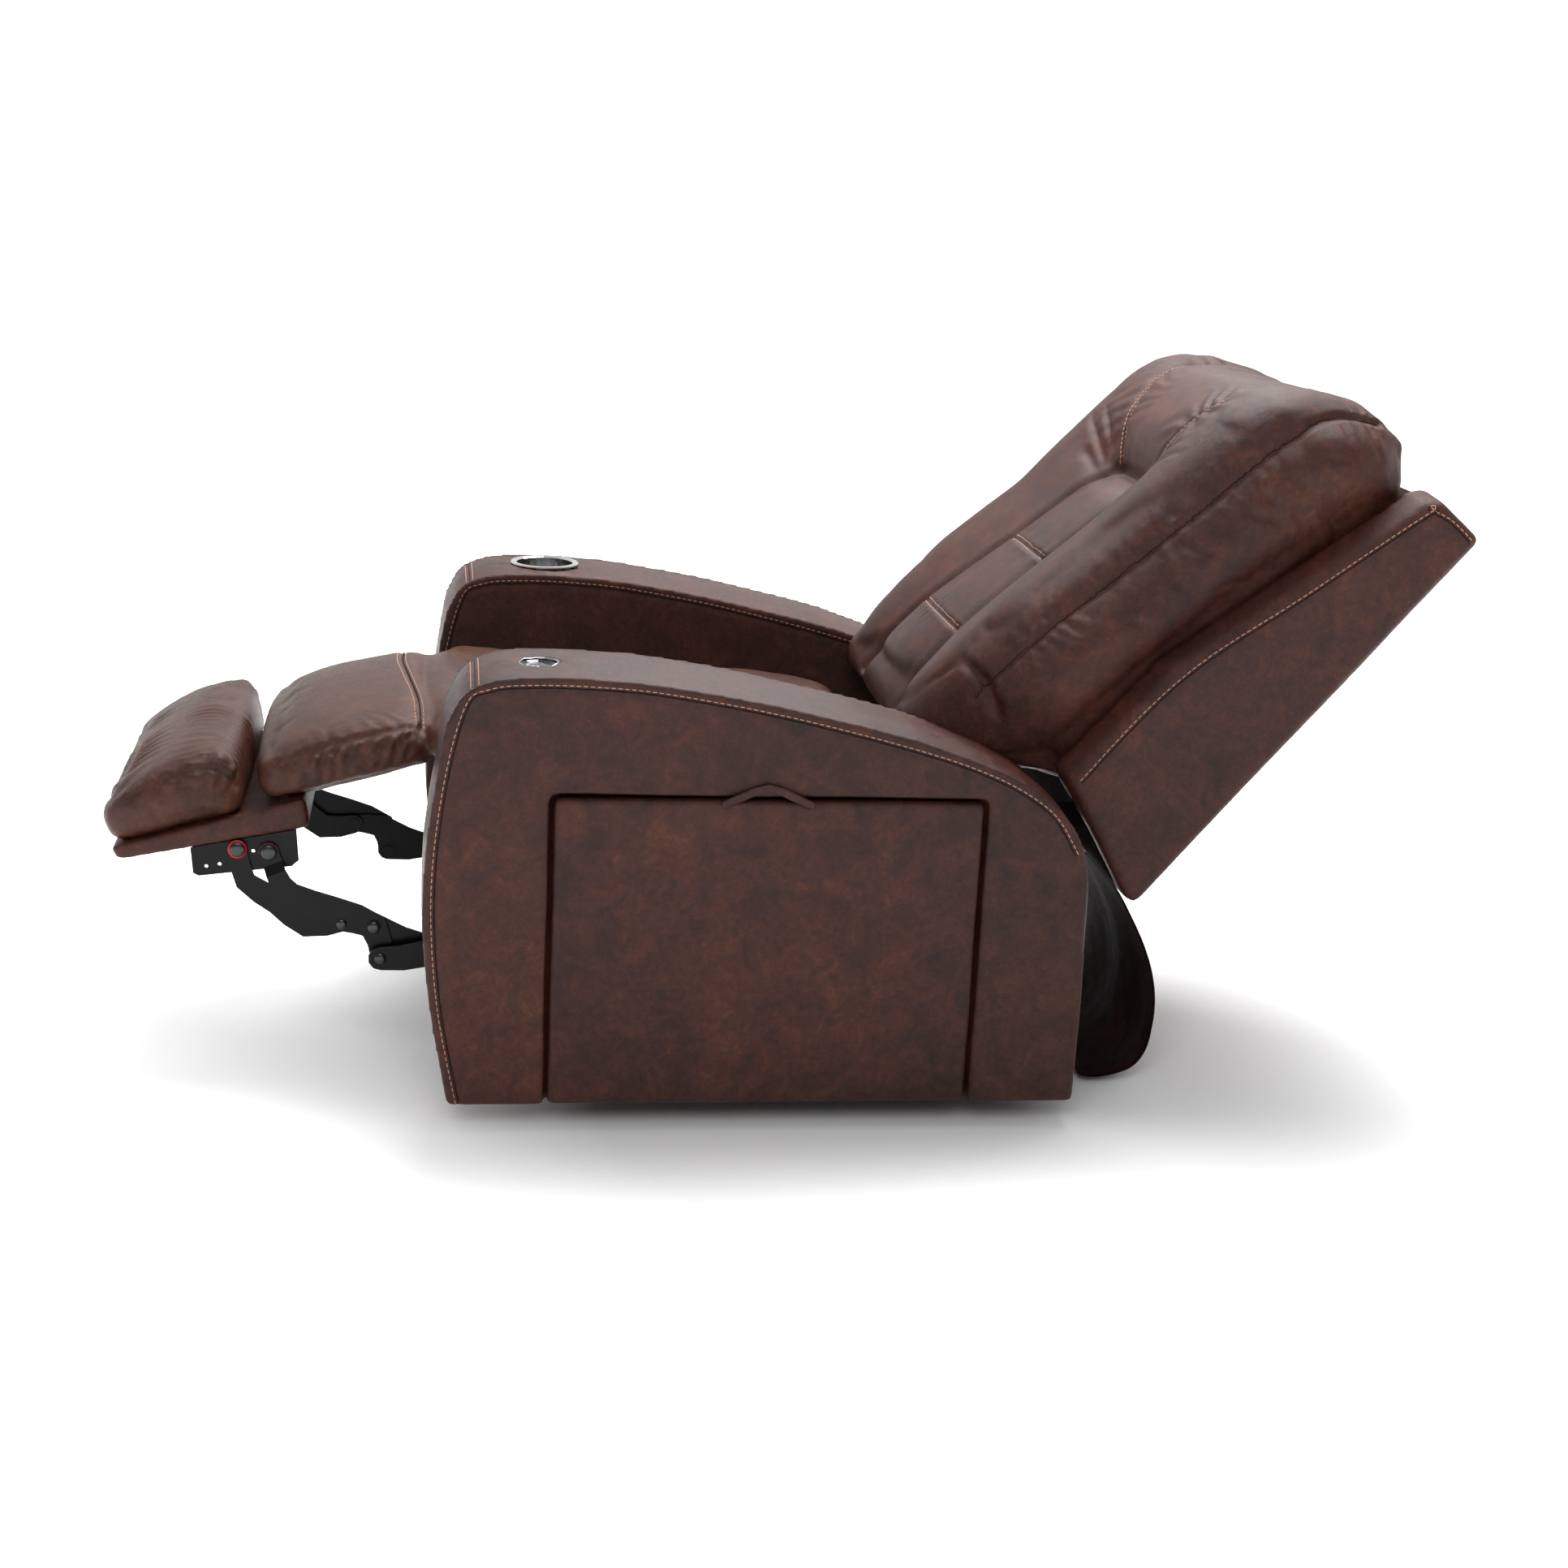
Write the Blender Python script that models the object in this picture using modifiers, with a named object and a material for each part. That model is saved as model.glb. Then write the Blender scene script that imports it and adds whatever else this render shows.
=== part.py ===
"""Power lift chair, reclined with its footrest out, as separate pieces in metres.

+Z is up, the sitter faces -Y and the sitter's left arm is at +X. The origin is on the
floor, under the middle of the chair as it is reclined here.
"""
import bpy
import bmesh
import math
from mathutils import Matrix, Vector

# Overall form
HALF_WIDTH = 0.425
SEAT_HALF = 0.255
FIT_GAP = 0.0003

# Arms: the outline is seen from the side as (y, z)
ARM_BASE_Z = 0.037
ARM_TOP_Z = 0.600
ARM_FRONT_Y = -0.478
ARM_REAR_Y = 0.373
ARM_SHOULDER = (0.316, 0.447)
ARM_EDGE_R = 0.016

# Side pocket in the left arm
POCKET_Y = (-0.318, 0.227)
POCKET_TOP_Z = 0.445
POCKET_PANEL_T = 0.020
POCKET_SEAM = 0.004
POCKET_DEPTH = 0.055
POCKET_FLOOR_Z = 0.075
PULL_TAB_Y = (-0.106, 0.003)
PULL_TAB_RISE = 0.022
PULL_TAB_W = 0.011
PULL_TAB_T = 0.005

# Cup holder and arm button
CUP_CENTRE = (-0.340, -0.303)
CUP_FLANGE_R = 0.0515
CUP_R = 0.0440
CUP_DEPTH = 0.070
CUP_WALL = 0.0015
FLANGE_T = 0.0025
DISC_CENTRE = (0.340, -0.337)
DISC_R = 0.024
DISC_T = 0.010

# Base on the floor
GLIDE_H = 0.018
GLIDE_R = 0.018
RAIL_X = (0.172, 0.197)
RAIL_H = 0.040
RAIL_Y = (-0.372, 0.352)
CROSS_TUBE_R = 0.014
CROSS_FRONT_Y = -0.350
CROSS_REAR_Y = 0.325
EAR_T = 0.004
EAR_R = 0.019

# Lift linkage pivots (y, z) with the chair down
LIFT_REAR_BASE = (-0.2360, 0.0848)
LIFT_REAR_TOP = (0.2595, 0.1596)
LIFT_FRONT_BASE = (-0.3248, 0.0694)
LIFT_FRONT_TOP = (-0.1323, 0.1002)
LIFT_LINK_T = 0.006
LIFT_REAR_X = 0.2075
LIFT_FRONT_X = 0.2155
LIFT_PIN_R = 0.007
LIFT_OPEN_PLAY = 0.0019
TORQUE_TUBE = (-0.2207, 0.1633)
TORQUE_TUBE_R = 0.012

# Lift actuator
LIFT_MOTOR_PIVOT = (0.2620, 0.0760)
ACTUATOR_TUBE_R = 0.017
ACTUATOR_ROD_R = 0.009
ACTUATOR_BODY = 0.290
ACTUATOR_SOCKET = 0.090
ACTUATOR_EYE_W = 0.016
MOTOR_R = 0.024
MOTOR_L = 0.120
MOTOR_SIDE = 0.044

# Chair side plates and seat rails
SIDE_PLATE_X = 0.2420
PLATE_T = 0.003
PLATE_TOP_Z = 0.415
FRONT_RAIL_YZ = (-0.402, 0.408)
REAR_RAIL_YZ = (0.075, 0.398)
SEAT_RAIL_SIZE = (0.030, 0.036)
CLEAT_Y = (-0.290, 0.210)
CLEAT_Z = (0.362, 0.402)

# Footrest linkage pivots (y, z) with the footrest out
FRONT_CRANK = (-0.3644, 0.3631)
REAR_CRANK = (-0.3543, 0.3264)
CROSS_PIVOT = (-0.5413, 0.2140)
TAIL_PIVOT = (-0.5326, 0.1733)
TIP_PIVOT = (-0.5833, 0.2180)
FOOT_FRONT = (-0.7173, 0.3169)
FOOT_REAR = (-0.6776, 0.3127)
OUTER_LINK_X = 0.2370
FRONT_LINK_X = 0.2320
INNER_LINK_X = 0.2270
REAR_LINK_X = 0.2470
BRACKET_X = 0.2220
LINK_PIN_R = 0.005
HEAD_R = 0.0095
HEAD_T = 0.0014
RUN_PLAY = 0.0003
OPEN_PLAY = 0.0007
FOOT_TUBE_R = 0.011

# Ottoman and chaise pads
PAD_HALF = 0.235
FOOT_PITCH = math.radians(15.4)
FOOT_PLANE = (-0.883, 0.3165)
FOOT_PAD_LENGTH = 0.188
FOOT_PAD_TOP = [(0.000, 0.040), (0.040, 0.064), (0.076, 0.078), (0.125, 0.088), (0.160, 0.088),
                (0.188, 0.062)]
FOOT_CROWN = 0.006
BOARD_T = (0.020, 0.040)
BOARD_LENGTH = 0.262
CHAISE_REAR = (-0.4665, 0.437)
CHAISE_HINGE = (-0.480, 0.440)
CHAISE_REACH = 0.233
CHAISE_TOP = [(0.000, 0.048), (0.060, 0.054), (0.120, 0.056), (0.180, 0.046), (0.226, 0.034)]
CHAISE_CROWN = 0.016
CHAISE_PITCH = math.radians(15.0)

# Seat
SEAT_Y = (-0.4775, 0.138)
SEAT_TOP = [(-0.4775, 0.486), (0.055, 0.453), (0.090, 0.444), (0.138, 0.440)]
SEAT_CROWN = [(-0.4775, 0.016), (0.040, 0.016), (0.090, 0.004), (0.138, 0.000)]
SPRING_COUNT = 4
SPRING_LOOPS = 8
SPRING_R = 0.0020
SPRING_W = 0.022

# Back: s runs up the outer face and d stands off it towards the sitter
BACK_FOOT = (0.461, 0.281)
BACK_LEAN = math.radians(50.0)
BACK_PIVOT = (0.160, 0.360)
BACK_CRANK = (0.170, 0.299)
SHELL_HALF = 0.340
SHELL_WALL = 0.028
WING_T = 0.040
SHELL_TOP_S = 0.655
SHELL_FOOT_D = 0.190
SHELL_HEAD_D = 0.090
SHELL_FOOT_S = 0.062
BOLSTER_GAP = 0.0003
BOLSTER_SINK = 0.0021
CHANNEL_HALF = 0.108
BACK_BRACKET_X = 0.2365
POST_W = 0.030
LOW_RAIL_S = 0.056
MIDDLE_RAIL_S = 0.316
SEAMS = (-0.030, 0.104, 0.262, 0.418)
SEAM_DIP = 0.022
BACK_MOTOR_PIVOT = (-0.150, 0.282)

# Skirt that hangs from the back's lower edge
SKIRT_HALF = 0.272
SKIRT_T = 0.004
SKIRT_FOLD = 0.006

STEEL = ((0.022, 0.022, 0.024), 0.42, 0.85)
LEATHER = ((0.072, 0.030, 0.017), 0.45, 0.0)
LEATHER_LIGHT = ((0.095, 0.042, 0.024), 0.42, 0.0)
STAINLESS = ((0.62, 0.62, 0.63), 0.22, 1.0)
DARK_GLASS = ((0.02, 0.025, 0.03), 0.12, 0.0)
PLASTIC = ((0.018, 0.018, 0.018), 0.55, 0.0)
WOOD = ((0.48, 0.33, 0.19), 0.70, 0.0)
ZINC = ((0.42, 0.42, 0.44), 0.38, 1.0)

SIDE_VIEW = Matrix(((0, 0, 1, 0), (1, 0, 0, 0), (0, 1, 0, 0), (0, 0, 0, 1)))
RADIAL = 10
ROUTE_STEPS = 2

for old in list(bpy.data.objects):
    bpy.data.objects.remove(old)
parts = bpy.data.collections.new("lift_chair")
bpy.context.scene.collection.children.link(parts)
tools = bpy.data.collections.new("cutters")
bpy.context.scene.collection.children.link(tools)


def surface(name, look):
    """A plain material from a colour, a roughness and a metallic value."""
    material = bpy.data.materials.new(name)
    material.use_nodes = True
    shader = material.node_tree.nodes["Principled BSDF"]
    shader.inputs["Base Color"].default_value = (*look[0], 1)
    shader.inputs["Roughness"].default_value = look[1]
    shader.inputs["Metallic"].default_value = look[2]
    return material


def place(name, mesh, look=None):
    """Put a mesh in the part's collection under its piece's name."""
    item = bpy.data.objects.new(name, mesh)
    parts.objects.link(item)
    if look is not None:
        mesh.materials.clear()
        mesh.materials.append(surface(name + "_finish", look))
        mesh.shade_smooth()
        mesh.set_sharp_from_angle(angle=math.radians(35))
    return item


def baked(item, name, look=None):
    """Replace an object by the mesh that it shows, with loose caps welded."""
    bpy.context.view_layer.update()
    shown = item.evaluated_get(bpy.context.evaluated_depsgraph_get())
    mesh = bpy.data.meshes.new_from_object(shown)
    mesh.transform(item.matrix_world)
    work = bmesh.new()
    work.from_mesh(mesh)
    bmesh.ops.remove_doubles(work, verts=work.verts, dist=1e-6)
    bmesh.ops.recalc_face_normals(work, faces=work.faces)
    if work.calc_volume(signed=True) < 0:
        bmesh.ops.reverse_faces(work, faces=work.faces)
    work.to_mesh(mesh)
    work.free()
    bpy.data.objects.remove(item)
    return place(name, mesh, look)


def combine(item, others, operation="UNION"):
    """Join or cut one object with others by exact Booleans, in turn."""
    for other in others:
        modifier = item.modifiers.new("join", "BOOLEAN")
        modifier.operation = operation
        modifier.object = other
        bpy.context.view_layer.update()
        shown = item.evaluated_get(bpy.context.evaluated_depsgraph_get())
        mesh = bpy.data.meshes.new_from_object(shown)
        item.modifiers.clear()
        item.data = mesh
        bpy.data.objects.remove(other)
    item.data.shade_smooth()
    item.data.set_sharp_from_angle(angle=math.radians(35))
    return item


def round_points(centre, radius, count=RADIAL, start=0.0, sweep=2 * math.pi):
    """Points on an arc about a (y, z) centre; a full turn leaves its last point out."""
    full = abs(sweep - 2 * math.pi) < 1e-9
    steps = count if full else count - 1
    angles = [start + sweep * i / steps for i in range(count)]
    return [(centre[0] + radius * math.cos(a), centre[1] + radius * math.sin(a)) for a in angles]


def around(radius, count=RADIAL):
    """The corner radius of a faceted hole whose flats clear a round pin of this radius."""
    return radius / math.cos(math.pi / count)


def sheet_plate(name, outline, holes, x_mid, thick, look=None, smooth=None):
    """A flat stamped plate in the side view: a filled 2D curve with an extrude."""
    curve = bpy.data.curves.new(name, "CURVE")
    curve.dimensions = "2D"
    curve.fill_mode = "BOTH"
    curve.extrude = thick / 2
    if smooth:
        spline = curve.splines.new("BEZIER")
        spline.bezier_points.add(len(outline) - 1)
        for knot, (y, z, kind) in zip(spline.bezier_points, outline):
            knot.co = (y, z, 0)
            knot.handle_left_type = knot.handle_right_type = kind
        spline.resolution_u = smooth
        curve.resolution_u = smooth
        spline.use_cyclic_u = True
        rings = []
    else:
        rings = [outline]
    rings += [round_points((y, z), around(r)) for y, z, r in holes]
    for ring in rings:
        spline = curve.splines.new("POLY")
        spline.points.add(len(ring) - 1)
        for point, (y, z) in zip(spline.points, ring):
            point.co = (y, z, 0, 1)
        spline.use_cyclic_u = True
    item = bpy.data.objects.new(name + "_curve", curve)
    parts.objects.link(item)
    item.matrix_world = Matrix.Translation((x_mid, 0, 0)) @ SIDE_VIEW
    return baked(item, name, look)


def strap(route, radii):
    """The outline of a link: a round-ended band of varying width about a smooth route."""
    dense = []
    last = len(route) - 1
    for i in range(last):
        before, here = route[max(i - 1, 0)], route[i]
        after, beyond = route[i + 1], route[min(i + 2, last)]
        for k in range(ROUTE_STEPS):
            t = k / ROUTE_STEPS
            point = [0.5 * (2 * b + (c - a) * t + (2 * a - 5 * b + 4 * c - d) * t ** 2
                            + (3 * b - a - 3 * c + d) * t ** 3)
                     for a, b, c, d in zip(before, here, after, beyond)]
            dense.append((point, radii[i] + (radii[i + 1] - radii[i]) * (3 * t * t - 2 * t ** 3)))
    dense.append((list(route[-1]), radii[-1]))
    left, right = [], []
    for i, (point, radius) in enumerate(dense):
        ahead = dense[min(i + 1, len(dense) - 1)][0]
        behind = dense[max(i - 1, 0)][0]
        angle = math.atan2(ahead[1] - behind[1], ahead[0] - behind[0])
        if i == 0:
            first = angle
        left.append((point[0] - radius * math.sin(angle), point[1] + radius * math.cos(angle)))
        right.append((point[0] + radius * math.sin(angle), point[1] - radius * math.cos(angle)))
    end = round_points(route[-1], radii[-1], 6, angle + math.pi / 2, -math.pi)[1:-1]
    start = round_points(route[0], radii[0], 6, first - math.pi / 2, -math.pi)[1:-1]
    return left + end + right[::-1] + start


def rod(name, start, end, radius, look=None, count=RADIAL):
    """A solid round bar between two points."""
    start, end = Vector(start), Vector(end)
    work = bmesh.new()
    bmesh.ops.create_cone(work, cap_ends=True, segments=count, radius1=radius, radius2=radius,
                          depth=(end - start).length)
    turn = (end - start).to_track_quat("Z", "Y").to_matrix().to_4x4()
    bmesh.ops.transform(work, matrix=Matrix.Translation((start + end) / 2) @ turn, verts=work.verts)
    mesh = bpy.data.meshes.new(name)
    work.to_mesh(mesh)
    work.free()
    return place(name, mesh, look)


def cross_pin(name, centre, x0, x1, radius, head_x=None, head_out=1):
    """A pin across the chair at a (y, z) centre, with an optional riveted head."""
    bar = rod(name, (x0, *centre), (x1, *centre), radius)
    if head_x is not None:
        head = rod(name + "_head", (head_x, *centre), (head_x + head_out * HEAD_T, *centre), HEAD_R)
        combine(bar, [head])
    return bar


def block(name, low, high, bevel=0.0, look=None, segments=1):
    """A box between two corners with its edges rounded."""
    low, high = Vector(low), Vector(high)
    work = bmesh.new()
    bmesh.ops.create_cube(work, size=1)
    size = Matrix.Diagonal((*(high - low), 1))
    bmesh.ops.transform(work, matrix=Matrix.Translation((low + high) / 2) @ size, verts=work.verts)
    if bevel:
        bmesh.ops.bevel(work, geom=work.edges[:], offset=bevel, segments=segments, profile=0.5,
                        affect="EDGES", clamp_overlap=True, material=-1)
    mesh = bpy.data.meshes.new(name)
    work.to_mesh(mesh)
    work.free()
    return place(name, mesh, look)


def turned(name, profile, centre, look, steps=28):
    """A turned piece: a profile of (radius, z), from the top down its outer side."""
    mesh = bpy.data.meshes.new(name)
    mesh.from_pydata([(r, 0, z) for r, z in profile], [(i, i + 1) for i in range(len(profile) - 1)], [])
    item = bpy.data.objects.new(name + "_profile", mesh)
    parts.objects.link(item)
    item.location = (*centre, 0)
    screw = item.modifiers.new("turn", "SCREW")
    screw.steps = screw.render_steps = steps
    screw.use_merge_vertices = True
    screw.merge_threshold = 1e-5
    return baked(item, name, look)


def table(value, knots):
    """Straight-line reading of a short table of (input, output) pairs."""
    if value <= knots[0][0]:
        return knots[0][1]
    for (a, fa), (b, fb) in zip(knots, knots[1:]):
        if value <= b:
            return fa + (fb - fa) * (value - a) / (b - a)
    return knots[-1][1]


def pillow(name, shape, look, cuts=(4, 4, 2), square=7.0, draw=0.045):
    """A stuffed form: a box cage with rounded corners in plan and drawn-in rims, subdivided."""
    work = bmesh.new()
    bmesh.ops.create_cube(work, size=2)
    for axis, count in enumerate(cuts):
        others = [k for k in range(3) if k != axis]
        along = [e for e in work.edges
                 if all(abs(e.verts[0].co[k] - e.verts[1].co[k]) < 1e-6 for k in others)]
        bmesh.ops.subdivide_edges(work, edges=along, cuts=count, use_grid_fill=True)
    for vert in work.verts:
        p, q, r = [math.sin(value * math.pi / 2) for value in vert.co]
        reach = max(abs(p), abs(q))
        norm = (abs(p) ** square + abs(q) ** square) ** (1 / square)
        scale = (reach / norm if norm > 0 else 1) * (1 - draw * r * r)
        vert.co = Vector(shape(p * scale, q * scale, r))
    if work.calc_volume(signed=True) < 0:
        bmesh.ops.reverse_faces(work, faces=work.faces)
    mesh = bpy.data.meshes.new(name)
    work.to_mesh(mesh)
    work.free()
    item = place(name, mesh, look)
    soft = item.modifiers.new("soft", "SUBSURF")
    soft.levels = soft.render_levels = 1
    return item


def inboard(x_mid, side, extra=0.0):
    """The inner face of a plate on one side, pushed in by extra."""
    return side * (x_mid - PLATE_T / 2 - extra)


def outboard(x_mid, side, extra=0.0):
    """The outer face of a plate on one side, pushed out by extra."""
    return side * (x_mid + PLATE_T / 2 + extra)


def build_base():
    """The steel base on the floor: side rails with ears, cross tubes and glides."""
    rail_low, rail_top = GLIDE_H, GLIDE_H + RAIL_H
    tube_z = rail_low + RAIL_H / 2
    for side, word in ((1, "left"), (-1, "right")):
        low = (min(side * RAIL_X[0], side * RAIL_X[1]), RAIL_Y[0], rail_low)
        high = (max(side * RAIL_X[0], side * RAIL_X[1]), RAIL_Y[1], rail_top)
        rail = block("base_rail_" + word, low, high, 0.003, STEEL)
        ear_x = RAIL_X[1] + EAR_T / 2 - 0.001
        extras = []
        for pivot, link_x in ((LIFT_REAR_BASE, LIFT_REAR_X), (LIFT_FRONT_BASE, LIFT_FRONT_X)):
            foot = (pivot[0], rail_low + RAIL_H / 2)
            outline = strap([foot, pivot], [RAIL_H * 0.45, EAR_R])
            extras.append(sheet_plate("ear", outline, [], side * ear_x, EAR_T))
            tip = link_x + LIFT_LINK_T / 2 + FIT_GAP
            extras.append(cross_pin("pin", pivot, side * (RAIL_X[1] - 0.002), side * (tip + HEAD_T / 2),
                                    LIFT_PIN_R, side * tip, side))
        combine(rail, extras)
        for end, y in (("front", RAIL_Y[0] + 1.6 * GLIDE_R), ("rear", RAIL_Y[1] - 1.6 * GLIDE_R)):
            x = side * (RAIL_X[0] + RAIL_X[1]) / 2
            top = GLIDE_H - FIT_GAP
            profile = [(0, top), (GLIDE_R * 0.8, top), (GLIDE_R, top * 0.6), (GLIDE_R, top * 0.25),
                       (GLIDE_R * 0.8, 0), (0, 0)]
            turned("glide_%s_%s" % (end, word), profile, (x, y), PLASTIC, 12)
    reach = RAIL_X[0] - FIT_GAP
    rod("base_front_tube", (-reach, CROSS_FRONT_Y, tube_z), (reach, CROSS_FRONT_Y, tube_z),
        CROSS_TUBE_R, STEEL)
    rear = rod("base_rear_tube", (-reach, CROSS_REAR_Y, tube_z), (reach, CROSS_REAR_Y, tube_z),
               CROSS_TUBE_R, STEEL)
    ear_gap = ACTUATOR_EYE_W / 2 + FIT_GAP + EAR_T / 2
    ears = []
    for x in (-ear_gap, ear_gap):
        outline = strap([(CROSS_REAR_Y, tube_z), LIFT_MOTOR_PIVOT], [CROSS_TUBE_R * 0.9, 0.011])
        ears.append(sheet_plate("ear", outline, [], x, EAR_T))
    span = ear_gap + EAR_T / 2 + HEAD_T
    ears.append(cross_pin("pin", LIFT_MOTOR_PIVOT, -span, span, 0.005))
    combine(rear, ears)


def build_lift_links():
    """The four lift links and the torque tube that joins the long pair."""
    for side, word in ((1, "left"), (-1, "right")):
        spread = Vector(LIFT_REAR_TOP) - Vector(LIFT_REAR_BASE)
        middle = Vector(LIFT_REAR_BASE) + spread * 0.5
        outline = strap([LIFT_REAR_BASE, tuple(middle), LIFT_REAR_TOP], [0.021, 0.019, 0.017])
        hole = LIFT_PIN_R + RUN_PLAY
        link = sheet_plate("rear_lift_link_" + word, outline,
                           [(*LIFT_REAR_TOP, hole)],
                           side * LIFT_REAR_X, LIFT_LINK_T, STEEL)
        horn = strap([tuple(Vector(LIFT_REAR_BASE) + spread * 0.12), TORQUE_TUBE], [0.012, 0.018])
        combine(link, [sheet_plate("horn", horn, [], side * LIFT_REAR_X, LIFT_LINK_T - 0.001)])
        bore = rod("bore", (side * (LIFT_REAR_X - 0.02), *LIFT_REAR_BASE),
                   (side * (LIFT_REAR_X + 0.02), *LIFT_REAR_BASE), around(hole))
        combine(link, [bore], "DIFFERENCE")
        outline = strap([LIFT_FRONT_BASE, LIFT_FRONT_TOP], [0.016, 0.016])
        sheet_plate("front_lift_link_" + word, outline,
                    [(*LIFT_FRONT_BASE, hole), (*LIFT_FRONT_TOP, LIFT_PIN_R + LIFT_OPEN_PLAY)],
                    side * LIFT_FRONT_X, LIFT_LINK_T, STEEL)
    reach = LIFT_REAR_X - (LIFT_LINK_T - 0.001) / 2 - FIT_GAP
    rod("lift_torque_tube", (-reach, *TORQUE_TUBE), (reach, *TORQUE_TUBE), TORQUE_TUBE_R, STEEL)


def build_actuator(name, pivot, target, target_r, play, motor_side):
    """A linear actuator: a pivoted housing with a bored tube, and its sliding rod."""
    start, end = Vector((0, *pivot)), Vector((0, *target))
    along = (end - start).normalized()
    mouth = start + along * ACTUATOR_BODY
    body = rod(name + "_housing", start + along * 0.020, mouth, ACTUATOR_TUBE_R, PLASTIC)
    neck = block("neck", (-ACTUATOR_EYE_W / 2, -0.012, -0.012), (ACTUATOR_EYE_W / 2, 0.030, 0.012), 0.003)
    far = motor_side + math.copysign(MOTOR_R, motor_side)
    near = -math.copysign(0.022, motor_side)
    gear = block("gear", (min(near, far), 0.020, -0.021), (max(near, far), 0.062, 0.021), 0.005)
    turn = Matrix.Translation(start) @ Matrix.Rotation(math.atan2(along.z, along.y), 4, "X")
    for piece in (neck, gear):
        piece.data.transform(turn)
    side = Vector((motor_side, 0, 0))
    motor = rod("motor", start + side + along * 0.045, start + side + along * (0.045 + MOTOR_L), MOTOR_R)
    combine(body, [neck, gear, motor])
    bore = rod("bore", mouth - along * (ACTUATOR_SOCKET + 0.01), mouth + along * 0.01,
               around(ACTUATOR_ROD_R + FIT_GAP))
    eye = rod("eye", (-0.05, *pivot), (0.05, *pivot), around(0.005 + RUN_PLAY))
    combine(body, [bore, eye], "DIFFERENCE")
    stem_end = end - along * (target_r + 0.004)
    stem = rod(name + "_rod", mouth - along * ACTUATOR_SOCKET, stem_end, ACTUATOR_ROD_R, ZINC)
    slot = target_r + play
    head = rod("head", (-ACTUATOR_EYE_W / 2, *target), (ACTUATOR_EYE_W / 2, *target), slot + 0.006, count=20)
    combine(stem, [head])
    hole = rod("hole", (-0.05, *target), (0.05, *target), slot, count=20)
    combine(stem, [hole], "DIFFERENCE")


def build_side_plates():
    """The stamped side plates of the chair, with the pins that carry both linkages."""
    for side, word in ((1, "left"), (-1, "right")):
        top, rear = PLATE_TOP_Z, REAR_RAIL_YZ[0] + 0.06
        front = FRONT_RAIL_YZ[0] - SEAT_RAIL_SIZE[0] / 2 - 0.006
        foot = LIFT_FRONT_TOP[1] - 0.016
        outline = [(front, top), (rear, top), (rear + 0.045, top - 0.05)]
        outline += round_points(LIFT_REAR_TOP, 0.018, 7, math.radians(30), -math.radians(150))
        outline += [(LIFT_REAR_TOP[0] - 0.10, LIFT_REAR_TOP[1] + 0.045)]
        outline += round_points(LIFT_FRONT_TOP, LIFT_FRONT_TOP[1] - foot, 7, math.radians(-20),
                                -math.radians(160))
        outline += [(LIFT_FRONT_TOP[0] - 0.085, REAR_CRANK[1] - 0.040),
                    (REAR_CRANK[0], REAR_CRANK[1] - 0.022), (front + 0.012, REAR_CRANK[1] - 0.006), (front, REAR_CRANK[1] + 0.012)]
        plate = sheet_plate("side_plate_" + word, outline, [], side * SIDE_PLATE_X, PLATE_T, STEEL)
        root = side * SIDE_PLATE_X
        pins = []
        for pivot, x_mid, thick, radius in ((FRONT_CRANK, FRONT_LINK_X, PLATE_T, LINK_PIN_R),
                                            (LIFT_REAR_TOP, LIFT_REAR_X, LIFT_LINK_T, LIFT_PIN_R),
                                            (LIFT_FRONT_TOP, LIFT_FRONT_X, LIFT_LINK_T, LIFT_PIN_R)):
            tip = x_mid - thick / 2 - FIT_GAP
            pins.append(cross_pin("pin", pivot, root, side * (tip - HEAD_T / 2), radius, side * tip, -side))
        tip = REAR_LINK_X + PLATE_T / 2 + FIT_GAP
        pins.append(cross_pin("pin", REAR_CRANK, root, side * (tip + HEAD_T / 2), LINK_PIN_R,
                              side * tip, side))
        tip = BACK_BRACKET_X - PLATE_T / 2 - FIT_GAP
        pins.append(cross_pin("pin", BACK_PIVOT, root, side * (tip - HEAD_T / 2), LIFT_PIN_R,
                              side * tip, -side))
        combine(plate, pins)
        low_x, high_x = SIDE_PLATE_X + PLATE_T / 2 + FIT_GAP, SEAT_HALF - FIT_GAP
        low = (min(side * low_x, side * high_x), CLEAT_Y[0], CLEAT_Z[0])
        high = (max(side * low_x, side * high_x), CLEAT_Y[1], CLEAT_Z[1])
        block("arm_cleat_" + word, low, high, 0, WOOD)


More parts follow.
